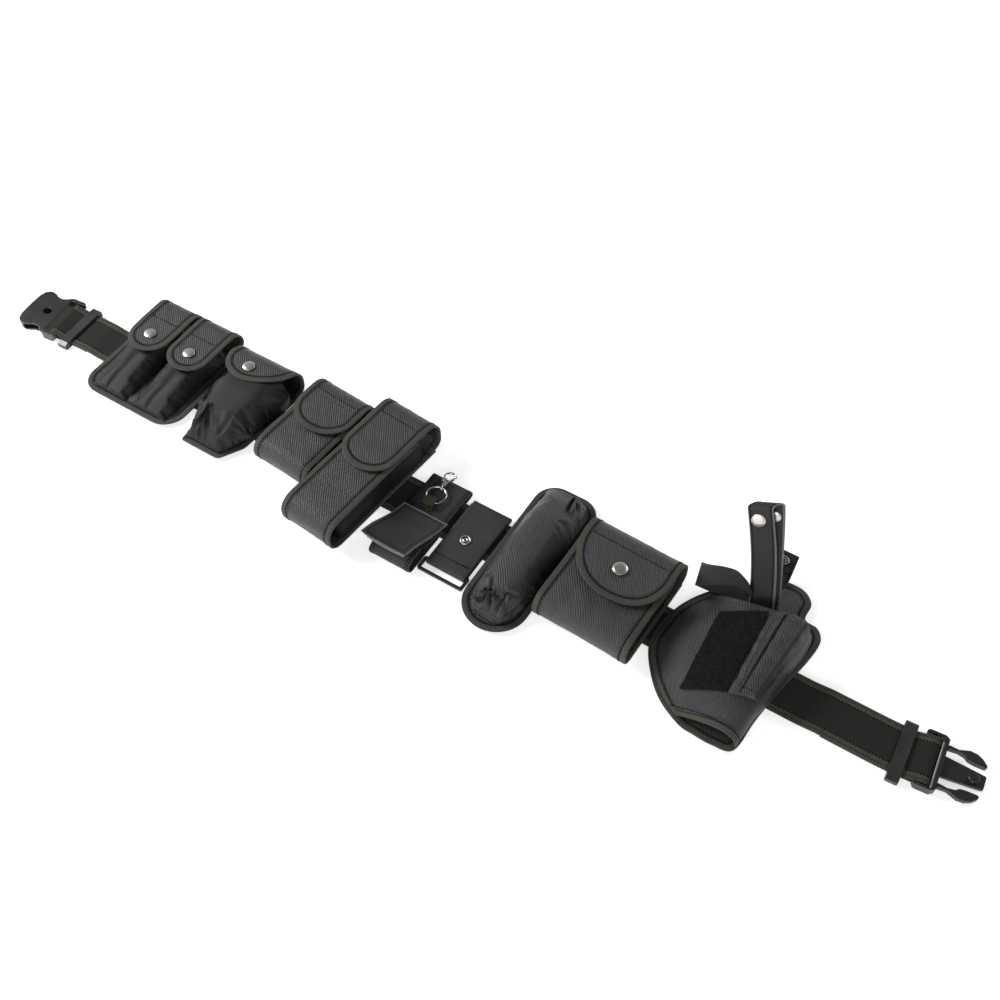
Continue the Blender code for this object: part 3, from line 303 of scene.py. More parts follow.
def fillet(points, radii, steps=10, closed=False):
    """Round the corners of a polyline with arcs of the given radii."""
    count = len(points)
    result = []
    for i, point in enumerate(points):
        if radii[i] <= 0.0 or (not closed and i in (0, count - 1)):
            result.append(tuple(point))
            continue
        here = Vector(point)
        back = (Vector(points[i - 1]) - here).normalized()
        ahead = (Vector(points[(i + 1) % count]) - here).normalized()
        half = back.angle(ahead) / 2.0
        if half > math.radians(89.0):
            result.append(tuple(point))
            continue
        reach = radii[i] / math.tan(half)
        centre = here + (back + ahead).normalized() * (radii[i] / math.sin(half))
        first, last = here + back * reach - centre, here + ahead * reach - centre
        turn = first.angle_signed(last)
        for k in range(steps + 1):
            spoke = first.copy()
            spoke.rotate(Matrix.Rotation(-turn * k / steps, 2))
            result.append(tuple(centre + spoke))
    return result


def distances(points, axis=0):
    """Distance along a polyline, or along one axis of a grid, to each of its points."""
    steps = np.linalg.norm(np.diff(points, axis=axis), axis=-1)
    return np.insert(np.cumsum(steps, axis), 0, 0.0, axis)


def read(table, marks, at):
    """The columns of a table at the given marks."""
    return np.stack([np.interp(at, marks, column) for column in np.transpose(table)], axis=-1)


class Path:
    """A polyline in a plane, read by distance along it, with its left-hand normals."""

    def __init__(self, points):
        self.points = np.array(points, float)
        self.marks = distances(self.points)
        self.length = self.marks[-1]
        tangent = np.gradient(self.points, self.marks, axis=0)
        tangent /= np.linalg.norm(tangent, axis=1)[:, None]
        self.normals = np.stack((-tangent[:, 1], tangent[:, 0]), axis=1)

    def at(self, distance):
        place = read(self.points, self.marks, distance)
        normal = read(self.normals, self.marks, distance)
        normal = normal / np.linalg.norm(normal, axis=-1, keepdims=True)
        return place[..., 0], place[..., 1], normal[..., 0], normal[..., 1]


def path_place(points, face):
    """Cloth along a YZ path: s runs along X, t along the path, and face is 1 on its left, -1 on its right."""
    path = Path(points)

    def place(s, t):
        y, z, ny, nz = path.at(t)
        return np.stack((s, y, z), axis=1), np.stack((np.zeros_like(s), face * ny, face * nz), axis=1)

    return place, path.length


def level_place(height):
    def place(s, t):
        up = np.tile((0.0, 0.0, 1.0), (len(s), 1))
        return np.stack((s, t, np.full_like(s, height)), axis=1), up
    return place


def curve_through(points, count):
    """Catmull-Rom points through the given ones."""
    points = np.array(points, float)
    padded = np.concatenate((2 * points[:1] - points[1:2], points, 2 * points[-1:] - points[-2:-1]))
    result = []
    for value in np.linspace(0.0, len(points) - 1.0, count):
        k = min(int(value), len(points) - 2)
        u = value - k
        a, b, c, d = padded[k:k + 4]
        bent = (2 * a - 5 * b + 4 * c - d) * u * u + (3 * b - a - 3 * c + d) * u ** 3
        result.append(0.5 * (2 * b + (c - a) * u + bent))
    return np.array(result)


def closed_curve(points, count):
    """A smooth loop through the given points."""
    wrap = 3
    run = curve_through(points[-wrap:] + points + points[:wrap], count * (len(points) + 2 * wrap - 1) + 1)
    return [tuple(p) for p in run[wrap * count:(wrap + len(points)) * count]]


def edge_distance(points, start, end):
    """Distance of each point from the nearest segment, that segment, and the share along it."""
    span = end - start
    size = np.maximum((span ** 2).sum(1), 1e-18)
    found = []
    for block in np.array_split(points, 1 + len(points) * len(start) // 400000):
        offset = block[:, None] - start
        along = np.minimum(np.maximum((offset * span).sum(2) / size, 0.0), 1.0)
        away = np.linalg.norm(offset - along[..., None] * span, axis=2)
        nearest = away.argmin(1)
        rows = np.arange(len(block))
        found.append((away[rows, nearest], nearest, along[rows, nearest]))
    return [np.concatenate(column) for column in zip(*found)]


def inside(points, loop):
    hits = np.zeros(len(points), bool)
    x, y = points.T
    for a, b in zip(loop, np.roll(loop, -1, 0)):
        if a[1] != b[1]:
            crossing = (a[1] > y) != (b[1] > y)
            hits ^= crossing & (x < a[0] + (y - a[1]) / (b[1] - a[1]) * (b[0] - a[0]))
    return hits


def resample(loop, step):
    points = []
    for a, b in zip(loop, loop[1:] + loop[:1]):
        a, b = np.array(a), np.array(b)
        count = max(1, math.ceil(np.linalg.norm(b - a) / step - 0.2))
        points += [a + (b - a) * k / count for k in range(count)]
    keep = [p for p, q in zip(points, points[1:] + points[:1]) if np.linalg.norm(p - q) > step * 0.12]
    return np.array(keep)


# ---------------------------------------------------------------- meshes
class Build:
    """Gathers closed solids with their cloth coordinates into one mesh."""

    def __init__(self):
        self.verts, self.faces, self.slots = [], [], []
        self.cloth, self.edge = [], []
        self.count = 0

    def add(self, verts, faces, slots, cloth=None, edge=None):
        verts = np.asarray(verts, float)
        blank = np.zeros((len(verts), 2))
        self.verts.append(verts)
        self.cloth.append(blank if cloth is None else cloth)
        self.edge.append(blank if edge is None else edge)
        self.faces += [tuple(int(i) + self.count for i in face) for face in faces]
        self.slots += list(slots)
        self.count += len(verts)

    def piece(self, name, materials, matrix, body, nodes):
        mesh = bpy.data.meshes.new(name)
        mesh.from_pydata(np.concatenate(self.verts).tolist(), [], self.faces)
        for label, rows in (("cloth", self.cloth), ("edge", self.edge)):
            layer = mesh.attributes.new(label, "FLOAT_VECTOR", "POINT")
            flat = np.concatenate(rows)
            layer.data.foreach_set("vector", np.column_stack((flat, np.zeros(len(flat)))).ravel())
        mesh.polygons.foreach_set("material_index", self.slots)
        for look in materials:
            mesh.materials.append(LOOKS[look])
        bm = bmesh.new()
        bm.from_mesh(mesh)
        bmesh.ops.recalc_face_normals(bm, faces=bm.faces)
        if bm.calc_volume(signed=True) < 0.0:
            bmesh.ops.reverse_faces(bm, faces=bm.faces)
        bmesh.ops.transform(bm, matrix=matrix, verts=bm.verts)
        bm.to_mesh(mesh)
        bm.free()
        mesh.shade_smooth()
        mesh.set_sharp_from_angle(angle=math.radians(60))
        item = bpy.data.objects.new(name, mesh)
        bpy.context.scene.collection.objects.link(item)
        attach(item, body)
        if nodes:
            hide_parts(*nodes)
        return item


DASH_SIDES = 6
DASH = [(u, 0.5 * math.cos(a), 0.5 + 0.5 * math.sin(a)) for u in (-0.36, 0.36)
        for a in np.linspace(0.0, math.tau, DASH_SIDES + 1)[:-1]]
DASH = [(-0.5, 0.0, 0.1)] + DASH + [(0.5, 0.0, 0.1)]
DASH_FACES = []
for near in range(1, DASH_SIDES + 1):
    beside = near % DASH_SIDES + 1
    DASH_FACES += [(0, beside, near), (near, beside, beside + DASH_SIDES, near + DASH_SIDES),
                   (len(DASH) - 1, near + DASH_SIDES, beside + DASH_SIDES)]


def dashes(build, starts, ends, normals, width=THREAD_WIDTH):
    """Thread stitches between pairs of points that lie on the cloth."""
    for a, b, up in zip(starts, ends, normals):
        along = b - a
        length = np.linalg.norm(along)
        if length > 1e-6:
            side = np.cross(up, along / length) * width
            middle = (a + b) / 2.0 - up * THREAD_HEIGHT * 0.25
            verts = [middle + along * u + side * v + up * (w * THREAD_HEIGHT) for u, v, w in DASH]
            build.add(verts, DASH_FACES, [THREAD] * len(DASH_FACES))


def sew_line(build, line, normals, width=THREAD_WIDTH):
    """Stitches along a line of points in space."""
    marks = distances(line)
    at = np.arange(0.0, marks[-1] - STITCH, PITCH)
    dashes(build, read(line, marks, at), read(line, marks, at + 0.0022), read(normals, marks, at), width)


def panel_points(loop, corner, flags, thick):
    """Points of a flat cut: its outline, its rounded rim, the tape's inner edge, and an even field."""
    ahead = np.roll(loop, -1, 0)
    rims = [thick * 0.10, thick * 0.32, thick * 0.62]
    parts = [loop]
    for ring in rims:
        near = loop + corner * ring
        parts.append(near[edge_distance(near, loop, ahead)[0] > ring * 0.93])
    for ring in (TAPE - 0.0004, TAPE + 0.0001):
        near = loop[flags] + corner[flags] * ring
        good = (edge_distance(near, loop[flags], ahead[flags])[0] > ring * 0.97) & inside(near, loop)
        good &= edge_distance(near, loop, ahead)[0] > rims[-1]
        parts.append(near[good])
    low, high = loop.min(0), loop.max(0)
    ys = np.arange(low[1], high[1], PANEL_STEP * 0.866)
    gx, gy = np.meshgrid(np.arange(low[0], high[0], PANEL_STEP), ys)
    gx = gx + (np.arange(len(ys)) % 2 * PANEL_STEP / 2.0)[:, None]
    grid = np.stack((gx.ravel(), gy.ravel()), axis=1)
    grid = grid[inside(grid, loop)]
    grid = grid[edge_distance(grid, loop, ahead)[0] > rims[-1] + PANEL_STEP * 0.45]
    away = edge_distance(grid, loop[flags], ahead[flags])[0]
    parts.append(grid[np.abs(away - TAPE + 0.00015) > PANEL_STEP * 0.42])
    return np.concatenate(parts), rims[-1]


def runs(spots, good):
    """The unbroken runs of good spots round a loop."""
    found, run = [], []
    for k in list(range(len(spots))) + [0, None]:
        if k is not None and good[k]:
            run.append(spots[k])
        else:
            found.append(run)
            run = []
    return [np.array(run) for run in found if len(run) > 3]


def flat_zero(s, t):
    return np.zeros(len(s))


def panel(name, outline, place, thick, body, node, matrix, relief, look="nylon", taped=None, tape_t=TAPE_T,
          shift=flat_zero, lines=()):
    """Cloth cut to an outline and laid on a surface, with binding tape and stitching along its edges."""
    loop = resample(list(outline), PANEL_STEP)
    if sum(a[0] * b[1] - b[0] * a[1] for a, b in zip(loop, np.roll(loop, -1, 0))) < 0.0:
        loop = loop[::-1]
    ahead = np.roll(loop, -1, 0)
    flags = np.array([taped is None or taped(*m) for m in (loop + ahead) / 2.0])
    start, end = loop[flags], ahead[flags]
    along = (ahead - loop) / np.linalg.norm(ahead - loop, axis=1)[:, None]
    inward = np.stack((-along[:, 1], along[:, 0]), axis=1)
    corner = inward + np.roll(inward, 1, 0)
    corner /= np.maximum((corner ** 2).sum(1) / 2.0, 0.6)[:, None]

    flat, rim_width = panel_points(loop, corner, flags, thick)
    edges = [(k, (k + 1) % len(loop)) for k in range(len(loop))]
    found = delaunay_2d_cdt([Vector(p) for p in flat], edges, [], 1, 1e-8)
    flat = np.array([tuple(v) for v in found[0]])
    s, t = flat.T
    away = edge_distance(flat, loop, ahead)[0]
    tape_away, index, share = edge_distance(flat, start, end)
    marks = np.concatenate(([0.0], np.cumsum(np.linalg.norm(end - start, axis=1))))
    arcs = marks[index] + share * (marks[index + 1] - marks[index])
    middle, up = place(s, t)
    rim = np.clip(away / rim_width, 0.0, 1.0)
    half = thick / 2.0 * np.sqrt(1.0 - (1.0 - rim) ** 2)
    bound = tape_t * (1.0 - smooth(TAPE - 0.0004, TAPE + 0.0001, tape_away)) * np.sqrt(rim)
    pucker = 0.00010 * np.sin(arcs * math.tau / 0.0062) * np.exp(-((tape_away - TAPE - 0.002) / 0.003) ** 2)
    middle = middle + up * shift(s, t)[:, None]
    top = middle + up * (half + bound + (pucker + relief(s, t)) * rim)[:, None]
    under = middle - up * (half + bound)[:, None]

    on_rim = away < 1e-7
    lower = np.arange(len(flat)) + len(flat)
    lower[on_rim] -= len(flat)
    used = np.concatenate((np.ones(len(flat), bool), ~on_rim))
    order = np.cumsum(used) - 1
    faces, slots = [], []
    for a, b, c in found[2]:
        faces += [(a, b, c), (order[lower[c]], order[lower[b]], order[lower[a]])]
        slots += [TAPED if (tape_away[a] + tape_away[b] + tape_away[c]) / 3.0 < TAPE - 0.0001 else 0] * 2
    build = Build()
    edge = np.stack((arcs, tape_away), axis=1)
    build.add(np.concatenate((top, under))[used], faces, slots, np.concatenate((flat, flat))[used],
              np.concatenate((edge, edge))[used])

    spots = loop + corner * SEAM_INSET
    good = flags & (edge_distance(spots, start, end)[0] > SEAM_INSET * 0.97)
    good &= edge_distance(spots, loop, ahead)[0] > 0.0008
    for line in runs(spots, good) + [np.array(line) for line in lines]:
        marks = distances(line)
        at = np.arange(PITCH - STITCH, marks[-1] - STITCH, PITCH)
        ends = []
        for side in (read(line, marks, at), read(line, marks, at + STITCH)):
            point, normal = place(*side.T)
            near = edge_distance(side, start, end)[0] < TAPE - 0.0002
            raised = thick / 2.0 + tape_t * near + shift(*side.T) + relief(*side.T)
            ends.append(point + normal * raised[:, None])
        dashes(build, *ends, normal)
    return build.piece(name, (look, "tape", "thread"), matrix, body, (node,))


def grid_normals(points):
    normal = np.cross(np.gradient(points, axis=1), np.gradient(points, axis=0))
    return normal / np.maximum(np.linalg.norm(normal, axis=2), 1e-12)[..., None]


def grid_solid(build, points, thick, outward=1.0, kinds=None, extra=None):
    """A sheet on a grid of points, given its thickness on the inner side and closed round its rim.

    kinds and extra give each point's material and extra height from its distances to the sides, to the ends,
    along its row and down its column.
    """
    rows, columns = points.shape[:2]
    normal = grid_normals(points) * outward
    wide, deep = distances(points, 1), distances(points, 0)
    sides, ends = np.minimum(wide, wide[:, -1:] - wide), np.minimum(deep, deep[-1:] - deep)
    depth = np.minimum(sides, ends)
    top = points if extra is None else points + normal * extra(sides, ends, wide, deep)[..., None]
    low = points - normal * thick
    pull = ((1.0 - np.clip(depth / (thick * 0.5), 0.0, 1.0)) ** 2 * 0.6)[..., None]
    middle = (top + low) / 2.0
    top = top * (1.0 - pull) + middle * pull
    low = low * (1.0 - pull) + middle * pull

    kind = np.zeros((rows, columns)) if kinds is None else kinds(sides, ends, wide, deep)
    kind = kind[:-1, :-1]
    under = rows * columns
    index = np.arange(under).reshape(rows, columns)
    a, b, c, d = index[:-1, :-1], index[:-1, 1:], index[1:, 1:], index[1:, :-1]
    faces, marks = [(a, b, c, d), (a + under, d + under, c + under, b + under)], [kind, kind]
    for rim, mark in ((index[:, 0], kind[:, 0]), (index[:, -1], kind[:, -1]), (index[0], kind[0]),
                      (index[-1], kind[-1])):
        faces.append((rim[:-1], rim[1:], rim[1:] + under, rim[:-1] + under))
        marks.append(mark)
    faces = np.concatenate([np.stack(corners, axis=-1).reshape(-1, 4) for corners in faces])
    marks = np.concatenate([mark.ravel() for mark in marks]).astype(int).tolist()
    even_wide = wide / np.maximum(wide[:, -1:], 1e-6) * wide[:, -1].mean()
    even_deep = np.repeat(deep.mean(1)[:, None], columns, 1)
    cloth = np.stack((even_wide.ravel(), even_deep.ravel()), axis=1)
    edge = np.stack((deep.ravel(), depth.ravel()), axis=1)
    verts = np.concatenate((top.reshape(-1, 3), low.reshape(-1, 3)))
    build.add(verts, faces, marks, np.concatenate((cloth, cloth)), np.concatenate((edge, edge)))
    return top, normal


def spaced(length, step, edges=()):
    """Distances from 0 to length, closer at both ends and at the given distances."""
    marks = list(np.linspace(0.0, length, max(3, int(length / step))))
    for near in (0.0002, 0.0006) + tuple(edges):
        marks += [near, length - near]
    marks = sorted(marks)
    kept = [marks[0]]
    for mark in marks[1:]:
        if mark - kept[-1] > 0.00015:
            kept.append(mark)
    kept[-1] = length
    return np.array(kept)


def strap(name, points, thick, width, body, node, matrix=Matrix(), look="strap", edge="strap",
          band=0.0,
          band_t=0.0, centre=0.0, lengthwise=False, sew=(), cross_rows=(), step=0.002, bend=None):
    """A flat strap along a path. sew gives stitch rows by their distance from each edge.

    Its width runs along X, or along Y where the path runs lengthwise. Each cross row is (along, from, to).
    """
    path = Path(points)
    marks = spaced(path.length, step)
    columns = spaced(width, step * 1.4, (band - 0.0003, band + 0.0001) if band else ()) - width / 2.0 + centre
    order = (1, 0, 2) if lengthwise else (0, 1, 2)
    build = Build()

    def on_face(along, across, lift):
        """Points on the strap and its normals there."""
        y, z, ny, nz = path.at(along)
        level = np.zeros_like(ny + across)
        spot = np.stack((across + level, y + ny * lift + level, z + nz * lift + level), axis=-1)
        return spot[..., order], np.stack((level, ny + level, nz + level), axis=-1)[..., order]

    def stitches(along, across, forward, sideways, lift):
        first, up = on_face(along, across, lift)
        dashes(build, first, on_face(along + forward, across + sideways, lift)[0], up)

    def raised(sides, ends, wide, deep):
        return band_t * (1.0 - smooth(band - 0.0003, band + 0.0001, sides))

    def kinds(sides, ends, wide, deep):
        return np.minimum(sides, np.roll(sides, (-1, -1), (0, 1))) < band

    grid = on_face(marks[:, None], columns[None], thick / 2.0)[0]
    grid_solid(build, grid, thick, outward=-1.0 if lengthwise else 1.0, kinds=kinds, extra=raised)
    for inset in sew:
        for side in (-1.0, 1.0):
            at = np.arange(0.002, path.length - 0.004, PITCH)
            stitches(at, centre + side * (width / 2.0 - inset), SHORT_STITCH, 0.0,
                     thick / 2.0 + (band_t if inset < band else 0.0))
    for along, left, right in cross_rows:
        across = np.arange(left, right - 0.002, PITCH)
        stitches(np.full(len(across), along), across, 0.0, SHORT_STITCH, thick / 2.0)
    if bend:
        for verts in build.verts:
            bend(verts)
    return build.piece(name, (look, edge, "thread"), matrix, body, (node,))


def lathe(name, profile, body, nodes, matrix, hollow=(), steps=48):
    """A turned piece about its own Z. Its profile runs out from the axis and back; hollow bands get a dark
    colour as painted shade.
    """
    angles = np.linspace(0.0, math.tau, steps + 1)[:-1]
    verts = [(r * math.cos(a), r * math.sin(a), z) for r, z in profile[1:-1] for a in angles]
    verts += [(0.0, 0.0, profile[0][1]), (0.0, 0.0, profile[-1][1])]
    last = len(profile) - 3
    faces = []
    for k in range(steps):
        m = (k + 1) % steps
        faces.append((len(verts) - 2, k, m))
        faces += [(i * steps + k, (i + 1) * steps + k, (i + 1) * steps + m,
                   i * steps + m) for i in range(last)]
        faces.append((last * steps + k, len(verts) - 1, last * steps + m))
    build = Build()
    build.add(verts, faces, [int(band in hollow) for band in range(len(profile) - 1)] * steps)
    return build.piece(name, ("nickel", "dark"), matrix, body, nodes)


def snap_cap(name, place, radius, body, node, matrix):
    """A domed press stud cap with a rolled rim."""
    shape = ((0.0, 1.75), (0.3, 1.72), (0.55, 1.60), (0.72, 1.42), (0.84, 1.12), (0.89, 0.82), (0.915, 0.80),
             (0.95, 0.84), (0.985, 0.70), (1.0, 0.45), (0.985, 0.20), (0.94, 0.0), (0.0, 0.0))
    profile = [(radius * share, height * MM) for share, height in shape]
    return lathe(name, profile, body, (node,), matrix @ Matrix.Translation(place))


def snap_socket(name, radius, body, node, matrix):
    """The ring side of a press stud: a rolled ring round a hollow coloured dark as painted shade, with a
    small bright lip.
    """
    shape = ((0.0, 0.55), (0.20, 0.55), (0.24, 0.95), (0.34, 1.10), (0.42, 0.95), (0.46, 0.60), (0.62, 0.62),
             (0.70, 1.10), (0.80, 1.35), (0.92, 1.15), (1.0, 0.60), (0.98, 0.15), (0.92, 0.0), (0.0, 0.0))
    profile = [(radius * share, height * MM) for share, height in shape]
    return lathe(name, profile, body, (node,), matrix, hollow=(0, 1, 5, 6))


# ---------------------------------------------------------------- simulation
def inflate(points, mouth, pressure, grow, cap):
    """Swell a cloth grid with air and a little spare fabric. Its rim is pinned, its mouth by a share."""
    rows, columns = points.shape[:2]
    scale, frames = 10.0, 16
    pins = np.zeros((rows, columns))
    pins[0], pins[-1], pins[:, 0], pins[:, -1] = 1.0, mouth, 1.0, 1.0
    mesh = bpy.data.meshes.new("cloth_trial")
    index = np.arange(rows * columns).reshape(rows, columns)
    corners = (index[:-1, :-1], index[:-1, 1:], index[1:, 1:], index[1:, :-1])
    faces = np.stack(corners, axis=-1).reshape(-1, 4).tolist()
    mesh.from_pydata((points.reshape(-1, 3) * scale).tolist(), [], faces)
    item = bpy.data.objects.new("cloth_trial", mesh)
    bpy.context.scene.collection.objects.link(item)
    group = item.vertex_groups.new(name="pins")
    for k, weight in enumerate(pins.ravel()):
        if weight > 0.0:
            group.add([k], float(weight), "REPLACE")
    modifier = item.modifiers.new("cloth", "CLOTH")
    cloth = modifier.settings
    cloth.vertex_group_mass = "pins"
    cloth.quality = 7
    cloth.mass = 0.3
    cloth.tension_stiffness = cloth.compression_stiffness = 15.0
    cloth.shear_stiffness = 8.0
    cloth.bending_stiffness = 0.5
    cloth.air_damping = 2.0
    cloth.use_pressure = True
    cloth.uniform_pressure_force = pressure
    cloth.shrink_min = -grow
    cloth.effector_weights.gravity = 0.0
    modifier.collision_settings.use_collision = False
    scene = bpy.context.scene
    for step in range(1, frames + 1):
        scene.frame_set(step)
    moved = np.zeros(len(mesh.vertices) * 3)
    shown = item.evaluated_get(bpy.context.evaluated_depsgraph_get())
    shown.data.vertices.foreach_get("co", moved)
    bpy.data.objects.remove(item, do_unlink=True)
    scene.frame_set(1)
    travel = moved.reshape(rows, columns, 3) / scale - points
    size = np.linalg.norm(travel, axis=2)
    return points + travel * (np.minimum(size, cap) / np.maximum(size, 1e-9))[..., None]


# ---------------------------------------------------------------- pouch parts
def uneven(height, seed, size):
    """A relief of smooth waves."""
    return lambda s, t: height * waves(seed, s, t, size)


def back_panel(node, outline, body, matrix, seed):
    item = panel(node + "_cloth", outline, level_place(PANEL_Z + PANEL_T / 2.0), PANEL_T - 0.0004, body, node,
                 matrix, uneven(0.00015, seed, 0.035), tape_t=0.00018)


def belt_loop(node, width, body, matrix, reach=0.034):
    top, low, ramp, foot = PANEL_Z - GAP - LOOP_T / 2.0, LOOP_T / 2.0, 0.003, 0.006
    path = fillet([(-reach - foot, top), (-reach, top), (-reach + ramp, low), (reach - ramp, low),
                   (reach, top),
                   (reach + foot, top)], [0, 0.002, 0.002, 0.002, 0.002, 0], 4)
    strap(node + "_cloth", path, LOOP_T - 0.0002, width, body, node, matrix, look="fine", sew=(0.003,),
          step=0.0035)


def flap_path(back_y, top_y, height, front_y, front_z):
    low, bulge = POCKET_Z + FABRIC_T / 2.0, 0.004
    corners = [(back_y, low), (top_y, low + bulge), (top_y, height), (front_y, front_z)]
    reach = min(0.019, (height - low) * 0.60)
    return fillet(corners, [0.0, reach * 0.5, reach, 0.0], 14)


def flap(node, path, half, tip, body, matrix, seed, centre=0.0, lean=0.0, sharp=2.0, line=None):
    """A padded flap with a rounded end, bound but for its top. line is (from, to, distance from its tip)."""
    place, length = path_place(path, -1.0)
    shares = 1.0 - (1.0 - np.linspace(0.0, 1.0, 26)) ** 1.9

    def side(sign, q):
        return centre + lean * q + sign * half * (1.0 - q ** sharp) ** (1.0 / sharp), length - tip * (1.0 - q)

    outline = [(centre - half, 0.0), (centre + half, 0.0)]
    outline += [side(1.0, q) for q in shares] + [side(-1.0, q) for q in shares[::-1]][1:]
    droop, wobble, crown = 0.0010, 0.0005, 0.0006

    def shift(s, t):
        off = np.abs(s - centre) / half
        free = smooth(length * 0.45, length, t)
        return free * (wobble * waves(seed, s, t, 0.045) - droop * off ** 3) + crown * (1.0 - off ** 2) * free

    lines = []
    if line:
        low, high, along = centre + line[0], centre + line[1], length - line[2]
        lines = [[(low, along), (high, along)]]
        lines += [[(end, along - 0.0028), (end, along + 0.0028)] for end in (low, high)]
    item = panel(node + "_cloth", outline, place, FABRIC_T - 0.0002, body, node, matrix,
                 uneven(0.00012, seed + 5, 0.016), look="flap", taped=lambda s, t: t > 0.0004, shift=shift,
                 lines=lines)


def arch_grid(rows, square, columns, count):
    """An arched pocket wall as a grid of points, its rows smoothed between the given ones.

    Each row is (y, middle, half width, height).
    """
    rows = np.array(rows)
    marks = np.linspace(rows[0, 0], rows[-1, 0], 200)
    kernel = np.hanning(17)
    kernel /= kernel.sum()
    at = np.linspace(marks[0], marks[-1], count)
    smoothed = []
    for k in (1, 2, 3):
        padded = np.pad(np.interp(marks, rows[:, 0], rows[:, k]), 8, "edge")
        smoothed.append(np.interp(at, marks, np.convolve(padded, kernel, "valid"))[:, None])
    middle, half, height = smoothed
    angle = np.linspace(0.0, math.pi, columns)[None]
    c, s = np.cos(angle), np.sin(angle)
    x = middle - half * np.sign(c) * np.abs(c) ** (2.0 / square)
    z = POCKET_Z + height * np.abs(s) ** (2.0 / square)
    return np.stack((x, np.repeat(at[:, None], columns, 1), np.maximum(z, POCKET_Z)), axis=2)


def even_columns(points, count):
    """Space a grid's points evenly along each row."""
    result = []
    for row in points:
        marks = distances(row)
        result.append(read(row, marks, np.linspace(0.0, marks[-1], count)))
    return np.array(result)


def crease(points, centre, angles, reach, depth, width):
    """Folds that run out from a point across a bulging pocket. Each angle has its length and sign."""
    normal = grid_normals(points)
    if normal[..., 2].sum() < 0.0:
        normal = -normal
    dx, dy = points[..., 0] - centre[0], points[..., 1] - centre[1]
    push = np.zeros(points.shape[:2])
    for angle, length, sign in angles:
        a = math.radians(angle)
        along, off = dx * math.cos(a) + dy * math.sin(a), -dx * math.sin(a) + dy * math.cos(a)
        window = smooth(-0.001, 0.0015, along) * (1.0 - smooth(length * reach * 0.4, length * reach, along))
        spread = width * (0.6 + np.clip(along, 0.0, 1.0) / reach)
        fold = np.exp(-(off / spread) ** 2) - 0.55 * np.exp(-((off - 1.7 * spread) / spread) ** 2)
        push += sign * window * fold
    return points - normal * (depth * push)[..., None]


def soft_pocket(node, rows, square, sizes, air, creases, body, matrix, look="fine", thick=0.0014, hem=0.0045):
    """A pocket wall: arched over its rows, swollen with air, creased, and hemmed round its mouth."""
    columns, count, even = sizes
    points = inflate(even_columns(arch_grid(rows, square, columns, count), even), *air)
    for fold in creases:
        points = crease(points, *fold)

    def mouth(sides, ends, wide, deep):
        return 0.00035 * (1.0 - smooth(hem - 0.0004, hem, deep[-1:] - deep))

    build = Build()
    grid_solid(build, points, thick, extra=mouth)
    build.piece(node + "_cloth", (look, "tape", "thread"), matrix, body, (node,))


# ---------------------------------------------------------------- belt, keepers and buckle
BEND_START, BEND_LENGTH, BUCKLE_TURN = 0.470, 0.040, 5.5
TAIL_Z = 0.0019
RAISED_Z = TAIL_Z + WEB_T + GAP
RIGHT_WRAP = 2.25            # the right buckle's wrap is this much longer than a round one


def belt_path():
    tail, over, flat = TAIL_Z + WEB_T / 2.0, RAISED_Z + WEB_T / 2.0, WEB_Z + WEB_T / 2.0
    wrap = arc((BAR_X, LOOP_BAR_Z), LOOP_BAR_Z - tail, -90.0, 90.0, 16)
    left = [(-x, z) for x, z in wrap]
    right = [(BAR_X + (x - BAR_X) * RIGHT_WRAP, z) for x, z in reversed(wrap)]
    bends = [BEND_START + BEND_LENGTH * k / 6 for k in range(6)]
    points = [(-0.466, tail)] + [(-x, tail) for x in bends] + left
    points += [(-x, over) for x in reversed(bends)] + [(-0.464, over), (-0.448, flat)]
    points += [(0.404, flat), (0.422, over)] + [(x, over) for x in bends]
    return points + right + [(x, tail) for x in reversed(bends)] + [(0.428, tail)]


def bend_belt(verts):
    """Turn the webbing's ends in its own plane, in step with the turned buckles."""
    most = math.radians(BUCKLE_TURN)
    past = np.maximum(np.abs(verts[:, 0]) - BEND_START, 0.0)
    within = past < BEND_LENGTH
    turn = np.where(within, most * past / BEND_LENGTH, most)
    move = np.where(within, most * past ** 2 / (2.0 * BEND_LENGTH), most * (past - BEND_LENGTH / 2.0))
    y = verts[:, 1].copy()
    verts[:, 1] = y * np.cos(turn) + np.copysign(move, verts[:, 0])
    verts[:, 0] -= y * np.sin(turn)


def make_belt():
    strap("belt_webbing", belt_path(), WEB_T - 0.0003, WEB_WIDTH - 0.0004, "belt", "belt_web", look="web",
          edge="web_edge", band=0.0088, band_t=0.00012, lengthwise=True, sew=(0.0078,),
          step=0.0030,
          bend=bend_belt)


FINISHES = {
    "grey_plastic": ("keeper_left", "keeper_right"),
    "plastic": ("female_buckle", "male_buckle", "male_prong_upper", "male_prong_lower", "male_lock_tongue",
                "baton_ring"),
    "chrome": ("key_ring", "key_hook", "key_hook_gate"),
    "nickel": ("mag_snap_stud_left", "mag_snap_stud_right", "utility_snap_stud", "cuff_snap_stud"),
}


def make_hardware():
    for look, nodes in FINISHES.items():
        for node in nodes:
            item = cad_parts[node]
            if not item.material_slots:
                item.data.materials.append(LOOKS[look])
            for place in item.material_slots:
                place.material = LOOKS[look]


